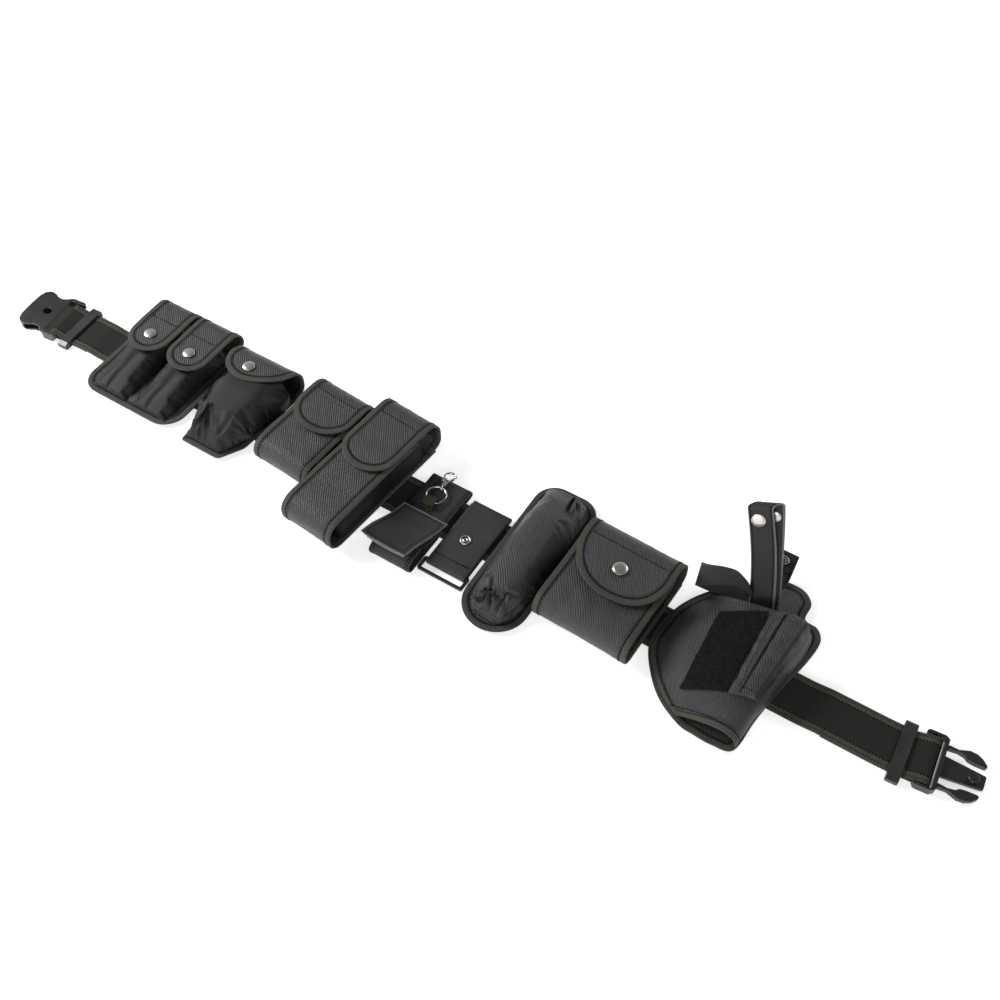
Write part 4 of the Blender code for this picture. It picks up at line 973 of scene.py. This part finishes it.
# ---------------------------------------------------------------- pouches
def make_magazine_pouch():
    matrix = placing("mag")
    outline = fillet([(-0.066, -0.065), (0.066, -0.065), (0.066, 0.066), (-0.066, 0.066)],
                     [0.022, 0.026, 0.008, 0.008], 8, closed=True)
    back_panel("mag_back_panel", outline, "mag_pouch", matrix, 3)
    belt_loop("mag_belt_loop", 0.100, "mag_pouch", matrix)
    front, tuck = 0.0325, 0.001
    for side, x, seed in (("left", -0.0275, 11), ("right", 0.0290, 12)):
        rows = [(-0.0590, x, 0.0225, 0.0), (-0.0580, x, 0.0235, 0.0030), (-0.0400, x, 0.0245, 0.0100),
                (-0.0100, x, 0.0255, 0.0165), (0.0200, x, 0.0255, 0.0205), (0.0440, x, 0.0250, 0.0215)]
        creases = [((x - 0.002, -0.056), [(84, 1.0, 1.0)], 0.080, 0.0012, 0.0042),
                   ((x - 0.015, -0.054), [(72, 1.0, 0.8)], 0.050, 0.0009, 0.0032)]
        soft_pocket("mag_pocket_" + side, rows, 3.4, (60, 54, 54), (0.8, 1.2, 0.05, 0.0022), creases,
                    "mag_pouch",
                    matrix)
        body = "mag_flap_" + side
        flap(body, flap_path(0.0600, 0.0745, front, -0.0075, front - 0.0010), 0.0262, 0.026, body, matrix,
             seed,
             centre=x + tuck, line=(-0.0172, 0.0172, 0.048))
        snap_cap("mag_snap_" + side, (x + tuck, 0.0165, front + FABRIC_T / 2.0 + 0.0006), 0.0068, body,
                 "mag_snap_cap_" + side, matrix)


def make_utility_pouch():
    matrix = placing("utility")
    outline = fillet([(-0.0315, -0.0670), (0.0190, -0.0670), (0.0345, -0.0400), (0.0400, 0.0500),
                      (-0.0400, 0.0500)], [0.003, 0.008, 0.020, 0.006, 0.006], closed=True)
    back_panel("utility_back_panel", outline, "utility_pouch", matrix, 4)
    belt_loop("utility_belt_loop", 0.056, "utility_pouch", matrix)
    rows = [(-0.0620, -0.0065, 0.0225, 0.0), (-0.0610, -0.0065, 0.0230, 0.0060),
            (-0.0480, -0.0040, 0.0275, 0.0180), (-0.0300, -0.0010, 0.0325, 0.0290),
            (0.0000, 0.0, 0.0370, 0.0335), (0.0330, 0.0, 0.0385, 0.0335)]
    creases = [((-0.0150, -0.0300), [(278, 1.0, 1.6)], 0.034, 0.0042, 0.0018),
               ((-0.0130, -0.0340), [(258, 1.0, 0.9), (300, 0.9, 1.0)], 0.030, 0.0026, 0.0022),
               ((-0.0290, -0.0260), [(285, 1.0, -1.2)], 0.036, 0.0024, 0.0030),
               ((0.0130, -0.0500), [(80, 1.0, 0.7), (120, 0.8, 0.5)], 0.030, 0.0018, 0.0034)]
    soft_pocket("utility_pocket", rows, 4.0, (80, 64, 72), (0.9, 1.6, 0.07, 0.0030), creases,
                "utility_pouch", matrix)
    front = POCKET_Z + 0.0335 + 0.0045
    flap("utility_flap", flap_path(0.0460, 0.0575, front, 0.0100, front - 0.0010), 0.0405, 0.034,
         "utility_flap",
         matrix, 21, lean=-0.010, sharp=1.8)
    snap_cap("utility_snap", (-0.0080, 0.0285, front + FABRIC_T / 2.0 + 0.0006), 0.0068, "utility_flap",
             "utility_snap_cap", matrix)


def strip_pouch(name, body, matrix, half, low_y, high_y, depth, mouth_y, seed):
    """Back, bottom and front in one folded padded strip, with an elastic gusset set in between."""
    wall, sink = 0.002, 0.004
    z, top, low = PANEL_Z + wall / 2.0, PANEL_Z + depth - wall / 2.0, low_y + wall / 2.0
    radius = depth * 0.40
    path = fillet([(high_y, z), (low, z), (low, top - 0.002), (mouth_y, top)], [0.0, radius, radius, 0.0], 12)
    place, length = path_place(path, 1.0)

    def shift(s, t):
        side = np.abs(s) / half
        front = smooth(length * 0.52, length * 0.66, t)
        fold = smooth(length * 0.40, length * 0.50, t) * (1.0 - smooth(length * 0.55, length * 0.66, t))
        swell = 0.0014 * front * (1.0 - side ** 2.2)
        return swell - 0.0007 * fold * (1.0 - side) + 0.00045 * front * waves(seed, s, t, 0.040)

    shell = panel(name + "_shell_cloth", [(-half, 0.0), (half, 0.0), (half, length), (-half, length)], place,
                  wall - 0.0003, body, name + "_shell", matrix, uneven(0.00012, seed + 5, 0.017), shift=shift,
                  taped=lambda s, t: abs(s) > half - 0.0005 or t > length - 0.0005)

    inner_low, inner_high = PANEL_Z + wall + GAP, PANEL_Z + depth - wall - 0.0030
    side, low_end, high_end = half - sink, low_y + radius + 0.003, mouth_y + 0.006
    walls = Path(fillet([(-side, high_end), (-side, low_end), (side, low_end), (side, high_end)],
                        [0.0, 0.008, 0.008, 0.0], 8))
    marks, levels = spaced(walls.length, 0.0016)[:, None], np.linspace(0.0, 1.0, 18)[None]
    x, y, nx, ny = walls.at(marks)
    inward = 0.0016 * np.sin(levels * math.pi) + 0.0008 * np.sin(levels * 3.0 * math.pi)
    inward = inward + 0.0003 * waves(seed + 9, marks, levels, 0.02)
    grid = np.stack((x + nx * inward, y + ny * inward,
                     inner_low + (inner_high - inner_low) * levels + 0.0 * x), -1)
    build = Build()
    grid_solid(build, grid, 0.0010)
    build.piece(name + "_gusset_cloth", ("elastic", "tape", "thread"), matrix, body,
                (name + "_gusset",))


def make_phone_pouch():
    matrix = placing("phone")
    strip_pouch("phone", "phone_pouch", matrix, 0.0365, -0.0500, 0.0570, 0.0330, 0.0360, 31)
    belt_loop("phone_belt_loop", 0.050, "phone_pouch", matrix, 0.037)
    front = PANEL_Z + 0.0330 + 0.0040
    flap("phone_flap", flap_path(0.0500, 0.0660, front, -0.0050, front - 0.0005), 0.0365, 0.032, "phone_flap",
         matrix, 32, line=(-0.0270, 0.0270, 0.050))


def make_torch_pouch():
    matrix = placing("torch")
    strip_pouch("torch", "torch_pouch", matrix, 0.0325, -0.0980, 0.0680, 0.0390, 0.0430, 41)
    belt_loop("torch_belt_loop", 0.046, "torch_pouch", matrix, 0.037)
    front = PANEL_Z + 0.0390 + 0.0045
    flap("torch_flap", flap_path(0.0600, 0.0765, front, -0.0220, front - 0.0010), 0.0325, 0.028, "torch_flap",
         matrix, 42, line=(-0.0235, 0.0235, 0.072))


def make_cuff_case():
    matrix = placing("cuff")
    strip_pouch("cuff", "cuff_case", matrix, 0.0515, -0.0580, 0.0550, 0.0340, 0.0360, 61)
    belt_loop("cuff_belt_loop", 0.070, "cuff_case", matrix)
    front = PANEL_Z + 0.0340 + 0.0045
    flap("cuff_flap", flap_path(0.0450, 0.0610, front, -0.0210, front - 0.0010), 0.0515, 0.056, "cuff_flap",
         matrix,
         62, lean=0.006, sharp=2.2, line=(-0.0410, 0.0430, 0.058))
    snap_cap("cuff_snap", (0.0020, 0.0130, front + FABRIC_T / 2.0 + 0.0008), 0.0076, "cuff_flap",
             "cuff_snap_cap",
             matrix)


def make_key_holder():
    matrix = placing("key")
    low, high = LOOP_T / 2.0, 0.0076
    path = fillet([(-0.0500, 0.0135), (-0.0360, high), (0.0380, high), (0.0385, low),
                   (-0.0740, low), (-0.0800, 0.0100), (-0.0680, 0.0165), (-0.0540, 0.0160)],
                  [0.0, 0.006, 0.0032, 0.0032, 0.006, 0.005, 0.004, 0.0], 10)
    strap("key_strap_cloth", path, LOOP_T - 0.0002, 0.048, "key_holder", "key_strap", matrix,
          sew=(0.0022, 0.0046),
          step=0.0016)
    ring_x, wire_room = -0.0035, 0.0044
    tab_low, fold_y = high + LOOP_T + GAP, 0.0075
    tab_high = tab_low + LOOP_T + wire_room
    tab = fillet([(-0.0060, tab_low), (fold_y, tab_low), (fold_y, tab_high), (-0.0050, tab_high)],
                 [0.0, 0.0022, 0.0022, 0.0], 10)
    strap("key_tab_cloth", tab, LOOP_T - 0.0001, 0.0130, "key_holder", "key_tab", matrix, look="tab",
          edge="tab",
          centre=ring_x, step=0.0012)
    make_key_cover(matrix)


def make_key_cover(matrix):
    """A turned-up vinyl cover with a stitched border, over the thinner layers it is folded from."""
    path = Path(fillet([(-0.0130, 0.0118), (-0.0300, 0.0135), (-0.0600, 0.0220), (-0.0740, 0.0230)],
                       [0.0, 0.012, 0.020, 0.0], 10))
    half, fray, step, stagger = 0.0265, 0.0010, 0.0014, 0.004
    layers = ((0.0, 0.0011, 0.0, 0.0), (0.0014, 0.0006, 0.0010, 0.012), (0.0023, 0.0006, 0.0004, 0.020),
              (0.0032, 0.0006, 0.0014, 0.026))     # each one's drop, thickness, and inset at its side and top
    build = Build()
    for layer, (drop, thick, side_in, top_in) in enumerate(layers):
        rows = (spaced(path.length - top_in, step) + top_in)[:, None]
        columns = (spaced(2.0 * half - side_in - layer * stagger, step) + layer * stagger)[None]
        y, z, ny, nz = path.at(rows)
        share, across = rows / path.length, columns / (2.0 * half)
        lift = 0.0035 * share * (across - 0.5) ** 2 + 0.0030 * share ** 2 * (1.0 - across) ** 3
        lift = lift + 0.0003 * waves(51 + layer, across * 0.05, share * 0.06, 0.03) - drop
        x = columns - half - 0.0040 + 0.010 * (0.5 - share)
        top, normal = grid_solid(build, np.stack((x, y - ny * lift, z - nz * lift), -1), thick,
                                 kinds=lambda sides, ends, wide, deep: np.minimum(sides, ends) < fray)
        if layer == 0:
            for inset in (0.0030, 0.0046):
                for i in np.searchsorted(rows.ravel(), (inset, path.length - inset)):
                    sew_line(build, top[i, 2:-2], normal[i, 2:-2], width=0.0005)
                for j in np.searchsorted(columns.ravel(), (inset, 2.0 * half - inset)):
                    sew_line(build, top[2:-2, j], normal[2:-2, j], width=0.0005)
    item = build.piece("key_cover_vinyl", ("vinyl", "cut", "thread"), matrix, "key_cover",
                       ("key_cover",))


def make_baton_holder():
    matrix = placing("baton")
    low, high = LOOP_T / 2.0, PANEL_Z + FABRIC_T / 2.0
    upper, end_y = high + LOOP_T + 0.0006, -0.0570
    path = fillet([(-0.0200, high), (0.0320, high), (0.0325, low), (end_y, low), (end_y, upper),
                   (0.0260, upper)],
                  [0.0, 0.0019, 0.0019, 0.0029, 0.0029, 0.0], 8)
    length = Path(path).length
    strap("baton_strap_cloth", path, LOOP_T - 0.0002, 0.045, "baton_holder", "baton_strap", matrix,
          look="satin",
          edge="satin", step=0.0016,
          cross_rows=((length - 0.0700, -0.0200, 0.0200), (length - 0.0690, 0.0120, 0.0200)))
    snap_socket("baton_stud", 0.0058, "baton_holder", "baton_snap",
                matrix @ Matrix.Translation((-0.0020, -0.0170, upper + LOOP_T / 2.0 + GAP)))


def make_spray_pouch():
    matrix = placing("spray")
    half, low, high, top_round = 0.0345, -0.0940, 0.0930, 0.024
    top = fillet([(half, 0.0), (half, high), (-half, high), (-half, 0.0)], [0.0, top_round, top_round, 0.0],
                 12)
    outline = arc((0.0, low + half), half, 180.0, 360.0, 28) + top[1:-1]
    back_panel("spray_back_panel", outline, "spray_pouch", matrix, 6)
    belt_loop("spray_belt_loop", 0.046, "spray_pouch", matrix)
    rows = [(-0.0835, 0.0, 0.0100, 0.0), (-0.0825, 0.0, 0.0135, 0.0050), (-0.0720, 0.0, 0.0225, 0.0150),
            (-0.0550, 0.0, 0.0270, 0.0265), (-0.0200, 0.0, 0.0278, 0.0320), (0.0300, 0.0, 0.0278, 0.0310),
            (0.0600, -0.001, 0.0268, 0.0230), (0.0800, -0.002, 0.0225, 0.0130)]
    star = [(200, 0.9, 1.0), (245, 0.9, 0.9), (300, 0.9, 1.0), (350, 0.9, 0.8), (110, 0.7, 0.6)]
    creases = [((-0.0040, -0.0640), star, 0.024, 0.0046, 0.0018),
               ((0.0120, -0.0600), [(265, 1.0, 1.0), (40, 0.6, 0.7)], 0.024, 0.0036, 0.0019),
               ((0.0060, 0.0780), [(285, 1.0, 1.4), (310, 0.7, 1.0)], 0.036, 0.0046, 0.0018),
               ((-0.0150, -0.0760), [(70, 0.8, -1.0), (20, 0.7, 0.9)], 0.020, 0.0034, 0.0018)]
    soft_pocket("spray_pocket", rows, 2.5, (80, 96, 66), (0.9, 1.4, 0.05, 0.0024), creases, "spray_pouch",
                matrix,
                look="nylon", thick=0.0015, hem=0.0060)


# ---------------------------------------------------------------- holster
HOLSTER_ROWS = (     # y, left edge, right edge, height
    (-0.0770, -0.0110, 0.0490, 0.0165), (-0.0640, -0.0325, 0.0500, 0.0200),
    (-0.0420, -0.0530, 0.0520, 0.0240),
    (-0.0200, -0.0640, 0.0560, 0.0270), (0.0100, -0.0640, 0.0600, 0.0295), (0.0360, -0.0560, 0.0630, 0.0300),
    (0.0560, -0.0430, 0.0640, 0.0290))
HOLSTER_CURVE = curve_through(HOLSTER_ROWS, 160)
SHOULDER, CROWN = 0.46, 0.80         # how soon the front rises from its sides, and how flat its top is
MUZZLE_TAPE = 0.0070
PAD_CORNERS = ((-0.0178, -0.0575), (0.0205, -0.0440), (-0.0222, 0.0316), (0.0182, 0.0500))
POCKET_CORNERS = ((0.0222, -0.0456), (0.0490, -0.0353), (0.0200, 0.0505), (0.0600, 0.0535))


def holster_section(y):
    """The holster's left edge, right edge and height at y."""
    return [np.interp(y, HOLSTER_CURVE[:, 0], HOLSTER_CURVE[:, k]) for k in (1, 2, 3)]


def on_holster(corners, across, along, lift):
    """A patch on the holster's front. Its corners go lower left, lower right, upper left, upper right."""
    a, b = np.meshgrid(across, along)
    low_left, low_right, high_left, high_right = np.array(corners)
    a, b = a[..., None], b[..., None]
    flat = (1.0 - b) * ((1.0 - a) * low_left + a * low_right) + b * ((1.0 - a) * high_left + a * high_right)
    left, right, height = holster_section(flat[..., 1])
    share = np.clip((flat[..., 0] - left) / (right - left), 0.0, 0.999)
    angle = np.arccos(1.0 - 2.0 * share ** (1.0 / SHOULDER))
    z = POCKET_Z + height * np.sin(angle) ** CROWN + lift
    return np.concatenate((flat, z[..., None]), axis=2)


def make_holster():
    matrix = placing("holster")
    outline = [(-0.0062, -0.0826), (0.0110, -0.0848), (0.0300, -0.0850), (0.0490, -0.0790),
               (0.0530, -0.0420), (0.0600, 0.0000), (0.0680, 0.0360), (0.0705, 0.0640),
               (0.0620, 0.0770), (0.0480, 0.0805), (0.0460, 0.1000), (0.0300, 0.1110),
               (0.0020, 0.1060), (-0.0206, 0.0800), (-0.0390, 0.0660), (-0.0515, 0.0500),
               (-0.0615, 0.0300), (-0.0670, 0.0080), (-0.0670, -0.0200), (-0.0555, -0.0430),
               (-0.0335, -0.0677)]
    back_panel("holster_back_panel", closed_curve(outline, 6), "holster", matrix, 7)
    belt_loop("holster_belt_loop", 0.070, "holster", matrix)
    make_holster_front(matrix)
    make_holster_pad(matrix)
    make_holster_magazine_pocket(matrix)
    make_holster_side_band(matrix)
    make_holster_thumb_strap(matrix)
    make_holster_rear_tab(matrix)


def make_holster_front(matrix):
    """The arched front, bound along its left edge and round its muzzle."""
    shares = np.concatenate((np.linspace(0.0, 0.10, 22), np.linspace(0.11, 0.90, 70),
                             np.linspace(0.91, 1.0, 12)))
    muzzle_y = HOLSTER_ROWS[0][0]
    ys = spaced(HOLSTER_ROWS[-1][0] - muzzle_y, 0.0020, (MUZZLE_TAPE, MUZZLE_TAPE + 0.0003)) + muzzle_y
    share, y = np.meshgrid(shares, ys)
    left, right, height = holster_section(y)
    x = left + (right - left) * ((1.0 - np.cos(math.pi * share)) / 2.0) ** SHOULDER
    z = POCKET_Z + height * np.sin(math.pi * share).clip(0.0) ** CROWN
    grid = np.stack((x, y, z), axis=-1)
    grid = grid + grid_normals(grid) * (0.0005 * waves(71, x, y, 0.045))[..., None]

    def bound(sides, ends, wide, deep):
        return 0.00045 * (1.0 - smooth(TAPE - 0.0006, TAPE, wide) * smooth(MUZZLE_TAPE,
                                                                           MUZZLE_TAPE + 0.0003, deep))

    def kinds(sides, ends, wide, deep):
        return (wide < TAPE - 0.0003) | (deep < MUZZLE_TAPE + 0.0001)

    build = Build()
    top, normal = grid_solid(build, grid, 0.0016, kinds=kinds, extra=bound)
    rows = np.arange(len(ys))
    columns = [int(np.searchsorted(along, SEAM_INSET)) for along in distances(grid, 1)]
    sew_line(build, top[rows, columns][5:-2], normal[rows, columns][5:-2])
    row = int(np.searchsorted(ys, muzzle_y + 0.0052))
    sew_line(build, top[row, 4:-6], normal[row, 4:-6])
    build.piece("holster_front_cloth", ("nylon", "tape", "thread"), matrix, "holster",
                ("holster_front_panel",))


def make_holster_pad(matrix):
    grid = on_holster(PAD_CORNERS, np.linspace(0.0, 1.0, 84), np.linspace(0.0, 1.0, 100), 0.0014)
    random = np.random.default_rng(8)
    fluff = 0.0013 + 0.00035 * random.uniform(-1.0, 1.0, grid.shape[:2])
    fluff += 0.0002 * waves(72, grid[..., 0], grid[..., 1], 0.008)
    build = Build()
    grid_solid(build, grid + grid_normals(grid) * fluff[..., None], 0.0016)
    build.piece("holster_pad_pile", ("pile",), matrix, "holster", ("holster_loop_pad",))


def make_holster_magazine_pocket(matrix):
    """A boxed pocket for a spare magazine, in ribbed strips with a sunk seam, and a plain side."""
    across = np.linspace(0.0, 1.0, 76)
    along = np.concatenate((np.linspace(0.0, 0.05, 7), np.linspace(0.066, 1.0, 58)))
    profile = np.interp(across, (0.0, 0.03, 0.16, 0.30, 0.35, 0.40, 0.55, 0.75, 0.90, 0.97, 1.0),
                        (0.0, 0.0030, 0.0066, 0.0078, 0.0050, 0.0086, 0.0112, 0.0118, 0.0100, 0.0055, 0.0))
    rise = np.interp(along, (0.0, 0.02, 0.07, 0.30, 1.0), (0.0, 0.30, 0.48, 0.72, 1.0))
    grid = on_holster(POCKET_CORNERS, across, along, 0.0014 + rise[:, None] * profile)
    grid = grid + grid_normals(grid) * (0.0004 * waves(77, grid[..., 0], grid[..., 1], 0.020))[..., None]
    build = Build()
    grid_solid(build, grid, 0.0014, kinds=lambda *unused: np.tile(across > 0.80, (len(along), 1)))
    build.piece("holster_mag_pocket_cloth", ("nylon", "fine"), matrix, "holster",
                ("holster_mag_pocket",))


SIDE_BAND = (        # pairs of points on its lower and its upper edge
    ((-0.0120, 0.0600, 0.0078), (-0.0120, 0.0820, 0.0098)), ((-0.0300, 0.0592, 0.0080), (-0.0310, 0.0812,
                                                                                         0.0112)),
    ((-0.0440, 0.0578, 0.0088), (-0.0460, 0.0790, 0.0170)), ((-0.0530, 0.0562, 0.0102), (-0.0560, 0.0755,
                                                                                         0.0235)),
    ((-0.0568, 0.0548, 0.0122), (-0.0602, 0.0722, 0.0280)), ((-0.0560, 0.0535, 0.0146), (-0.0594, 0.0695,
                                                                                         0.0314)),
    ((-0.0480, 0.0545, 0.0190), (-0.0520, 0.0680, 0.0360)), ((-0.0340, 0.0590, 0.0262), (-0.0390, 0.0672,
                                                                                         0.0440)),
    ((-0.0200, 0.0615, 0.0325), (-0.0259, 0.0665, 0.0490)), ((-0.0120, 0.0615, 0.0335), (-0.0177, 0.0652,
                                                                                         0.0470)),
    ((-0.0062, 0.0605, 0.0290), (-0.0100, 0.0640, 0.0420)), ((-0.0020, 0.0600, 0.0200), (-0.0045, 0.0630,
                                                                                         0.0330)))


def make_holster_side_band(matrix):
    low, high = [curve_through(edge, 90)[:, None] for edge in zip(*SIDE_BAND)]
    across = np.concatenate(([0.0, 0.02, 0.05], np.linspace(0.09, 0.91, 12), [0.95, 0.98, 1.0]))[None, :,
                                                                                                 None]
    grid = low * (1.0 - across) + high * across
    build = Build()
    grid_solid(build, grid + grid_normals(grid) * 0.0006, 0.0012)
    build.piece("holster_side_band", ("strap",), matrix, "holster_side_strap",
                ("holster_side_strap",))


def make_holster_thumb_strap(matrix):
    """A standing doubled strap, with the stud's cap outside and its other half inside."""
    base, axis = Vector((0.0078, 0.0630, POCKET_Z + 0.0044)), Vector((-0.036, 0.034, 0.106)).normalized()
    across = Vector((1.0, 0.2, 0.0))
    across = (across - axis * across.dot(axis)).normalized()
    stand = matrix @ Matrix.Translation(base) @ Matrix((across, axis.cross(across),
                                                        axis)).transposed().to_4x4()
    length, thick, top_gap, foot_gap = 0.1165, 0.0017, 0.0085, 0.0023
    path = fillet([(0.0, 0.0), (0.0, length - 0.002), (top_gap, length), (foot_gap, 0.0)],
                  [0.0, 0.0034, 0.0034, 0.0])

    def spread(verts):
        """The back layer of the doubled strap lies to the right of the front one."""
        up = smooth(0.0, length, verts[:, 2])
        verts[:, 0] += up * 0.0100 * np.clip(verts[:, 1] / top_gap, 0.0, 1.0)
        verts[:, 0] += (1.0 - up) * 0.0060 * np.clip(verts[:, 1] / foot_gap, 0.0, 1.0)
        verts[:, 0] += 0.0030 * np.sin(np.clip(verts[:, 2] / length, 0.0, 1.0) * math.pi)

    body, stud_z, quarter = "holster_thumb_strap", length - 0.0160, Matrix.Rotation(math.pi / 2.0, 4, "X")
    strap("holster_thumb_cloth", path, thick, 0.0230, body, "holster_thumb_strap", stand, edge="cut",
          band=0.0007,
          sew=(0.0022,), step=0.0016, bend=spread)
    inner = stand @ Matrix.Translation((0.0125, top_gap - thick / 2.0 - GAP, stud_z)) @ quarter
    lathe("holster_thumb_stud", [(0, 0.0010), (0.0030, 0.0010), (0.0056, 0.0008), (0.0060, 0.0004),
                                 (0.0056, 0.0),
                                 (0, 0.0)], body, (), inner)
    outer = stand @ Matrix.Translation((-0.0010, -thick / 2.0 - GAP, stud_z)) @ quarter
    snap_cap("holster_thumb_cap", (0.0, 0.0, 0.0), 0.0066, body, "holster_thumb_snap", outer)


def make_holster_rear_tab(matrix):
    base = matrix @ Matrix.Translation((0.0055, 0.1020, POCKET_Z + 0.0004))
    path = curve_through([(0.0, 0.0012), (0.0060, 0.0030), (0.0120, 0.0120), (0.0190, 0.0300)], 30)
    strap("holster_rear_cloth", path, 0.0017, 0.0240, "holster_rear_tab", "holster_rear_tab", base,
          sew=(0.0022,),
          step=0.0012, cross_rows=((0.014, -0.0100, 0.0100),))
    ring = base @ Matrix.Translation((0.0, 0.0144, 0.0222)) @ Matrix.Rotation(math.radians(68.0), 4, "X")
    snap_socket("holster_rear_stud", 0.0054, "holster_rear_tab", "holster_rear_tab_snap", ring)


# ---------------------------------------------------------------- studio
def make_floor():
    size = 4
    mesh = bpy.data.meshes.new("floor")
    mesh.from_pydata([(-size, -size, 0), (size, -size, 0), (size, size, 0), (-size, size, 0)], [],
                     [(0, 1, 2, 3)])
    floor = bpy.data.objects.new("floor", mesh)
    floor.location.z = -0.0002
    bpy.context.scene.collection.objects.link(floor)
    graph = Graph("pale_floor", (0.80, 0.80, 0.80), 0.80, Emission_Color=(1.0, 1.0, 1.0, 1.0),
                  Emission_Strength=0.62)
    mesh.materials.append(graph.material)


def make_world():
    """Pale light from below and the sides, darker from above."""
    world = bpy.data.worlds.new("studio")
    bpy.context.scene.world = world
    world.use_nodes = True
    tree = world.node_tree
    split = tree.nodes.new("ShaderNodeSeparateXYZ")
    ramp = tree.nodes.new("ShaderNodeValToRGB")
    low, high = ramp.color_ramp.elements
    low.position, low.color = 0.30, (0.50, 0.50, 0.50, 1.0)
    high.position, high.color = 0.85, (0.14, 0.14, 0.14, 1.0)
    tree.links.new(tree.nodes.new("ShaderNodeTexCoord").outputs["Generated"], split.inputs[0])
    tree.links.new(split.outputs[2], ramp.inputs[0])
    tree.links.new(ramp.outputs[0], tree.nodes["Background"].inputs["Color"])
    tree.nodes["Background"].inputs["Strength"].default_value = 1.0


def make_light(name, place, target, size, power):
    light = bpy.data.lights.new(name, "AREA")
    light.shape, light.size, light.size_y, light.energy = "RECTANGLE", size[0], size[1], power
    lamp = bpy.data.objects.new(name, light)
    lamp.location = place
    lamp.rotation_euler = (Vector(target) - Vector(place)).to_track_quat("-Z", "Y").to_euler()
    bpy.context.scene.collection.objects.link(lamp)


def make_camera():
    camera = bpy.data.cameras.new("camera")
    camera.lens, camera.sensor_width = 43.56, 36.0
    camera.clip_start = 0.01
    view = bpy.data.objects.new("camera", camera)
    view.location = (0.4422, -0.5865, 1.0)
    pitch = math.radians(53.1)
    ahead = Vector((-0.5325 * math.cos(pitch), 0.8465 * math.cos(pitch), -math.sin(pitch)))
    view.rotation_euler = ahead.to_track_quat("-Z", "Y").to_euler()
    bpy.context.scene.collection.objects.link(view)
    bpy.context.scene.camera = view
    bpy.context.scene.view_settings.view_transform = "Standard"


make_floor()
make_world()
make_light("key_light", (-1.5, -0.3, 1.1), (-0.1, 0.0, 0.0), (0.8, 0.7), 34.0)
make_light("front_light", (0.3, -1.7, 0.7), (0.0, 0.0, 0.0), (1.4, 0.5), 16.0)
make_light("back_light", (0.9, 1.5, 0.7), (0.1, 0.0, 0.0), (0.8, 0.4), 9.0)
make_camera()
make_belt()
make_hardware()
make_magazine_pouch()
make_utility_pouch()
make_phone_pouch()
make_torch_pouch()
make_key_holder()
make_baton_holder()
make_spray_pouch()
make_cuff_case()
make_holster()
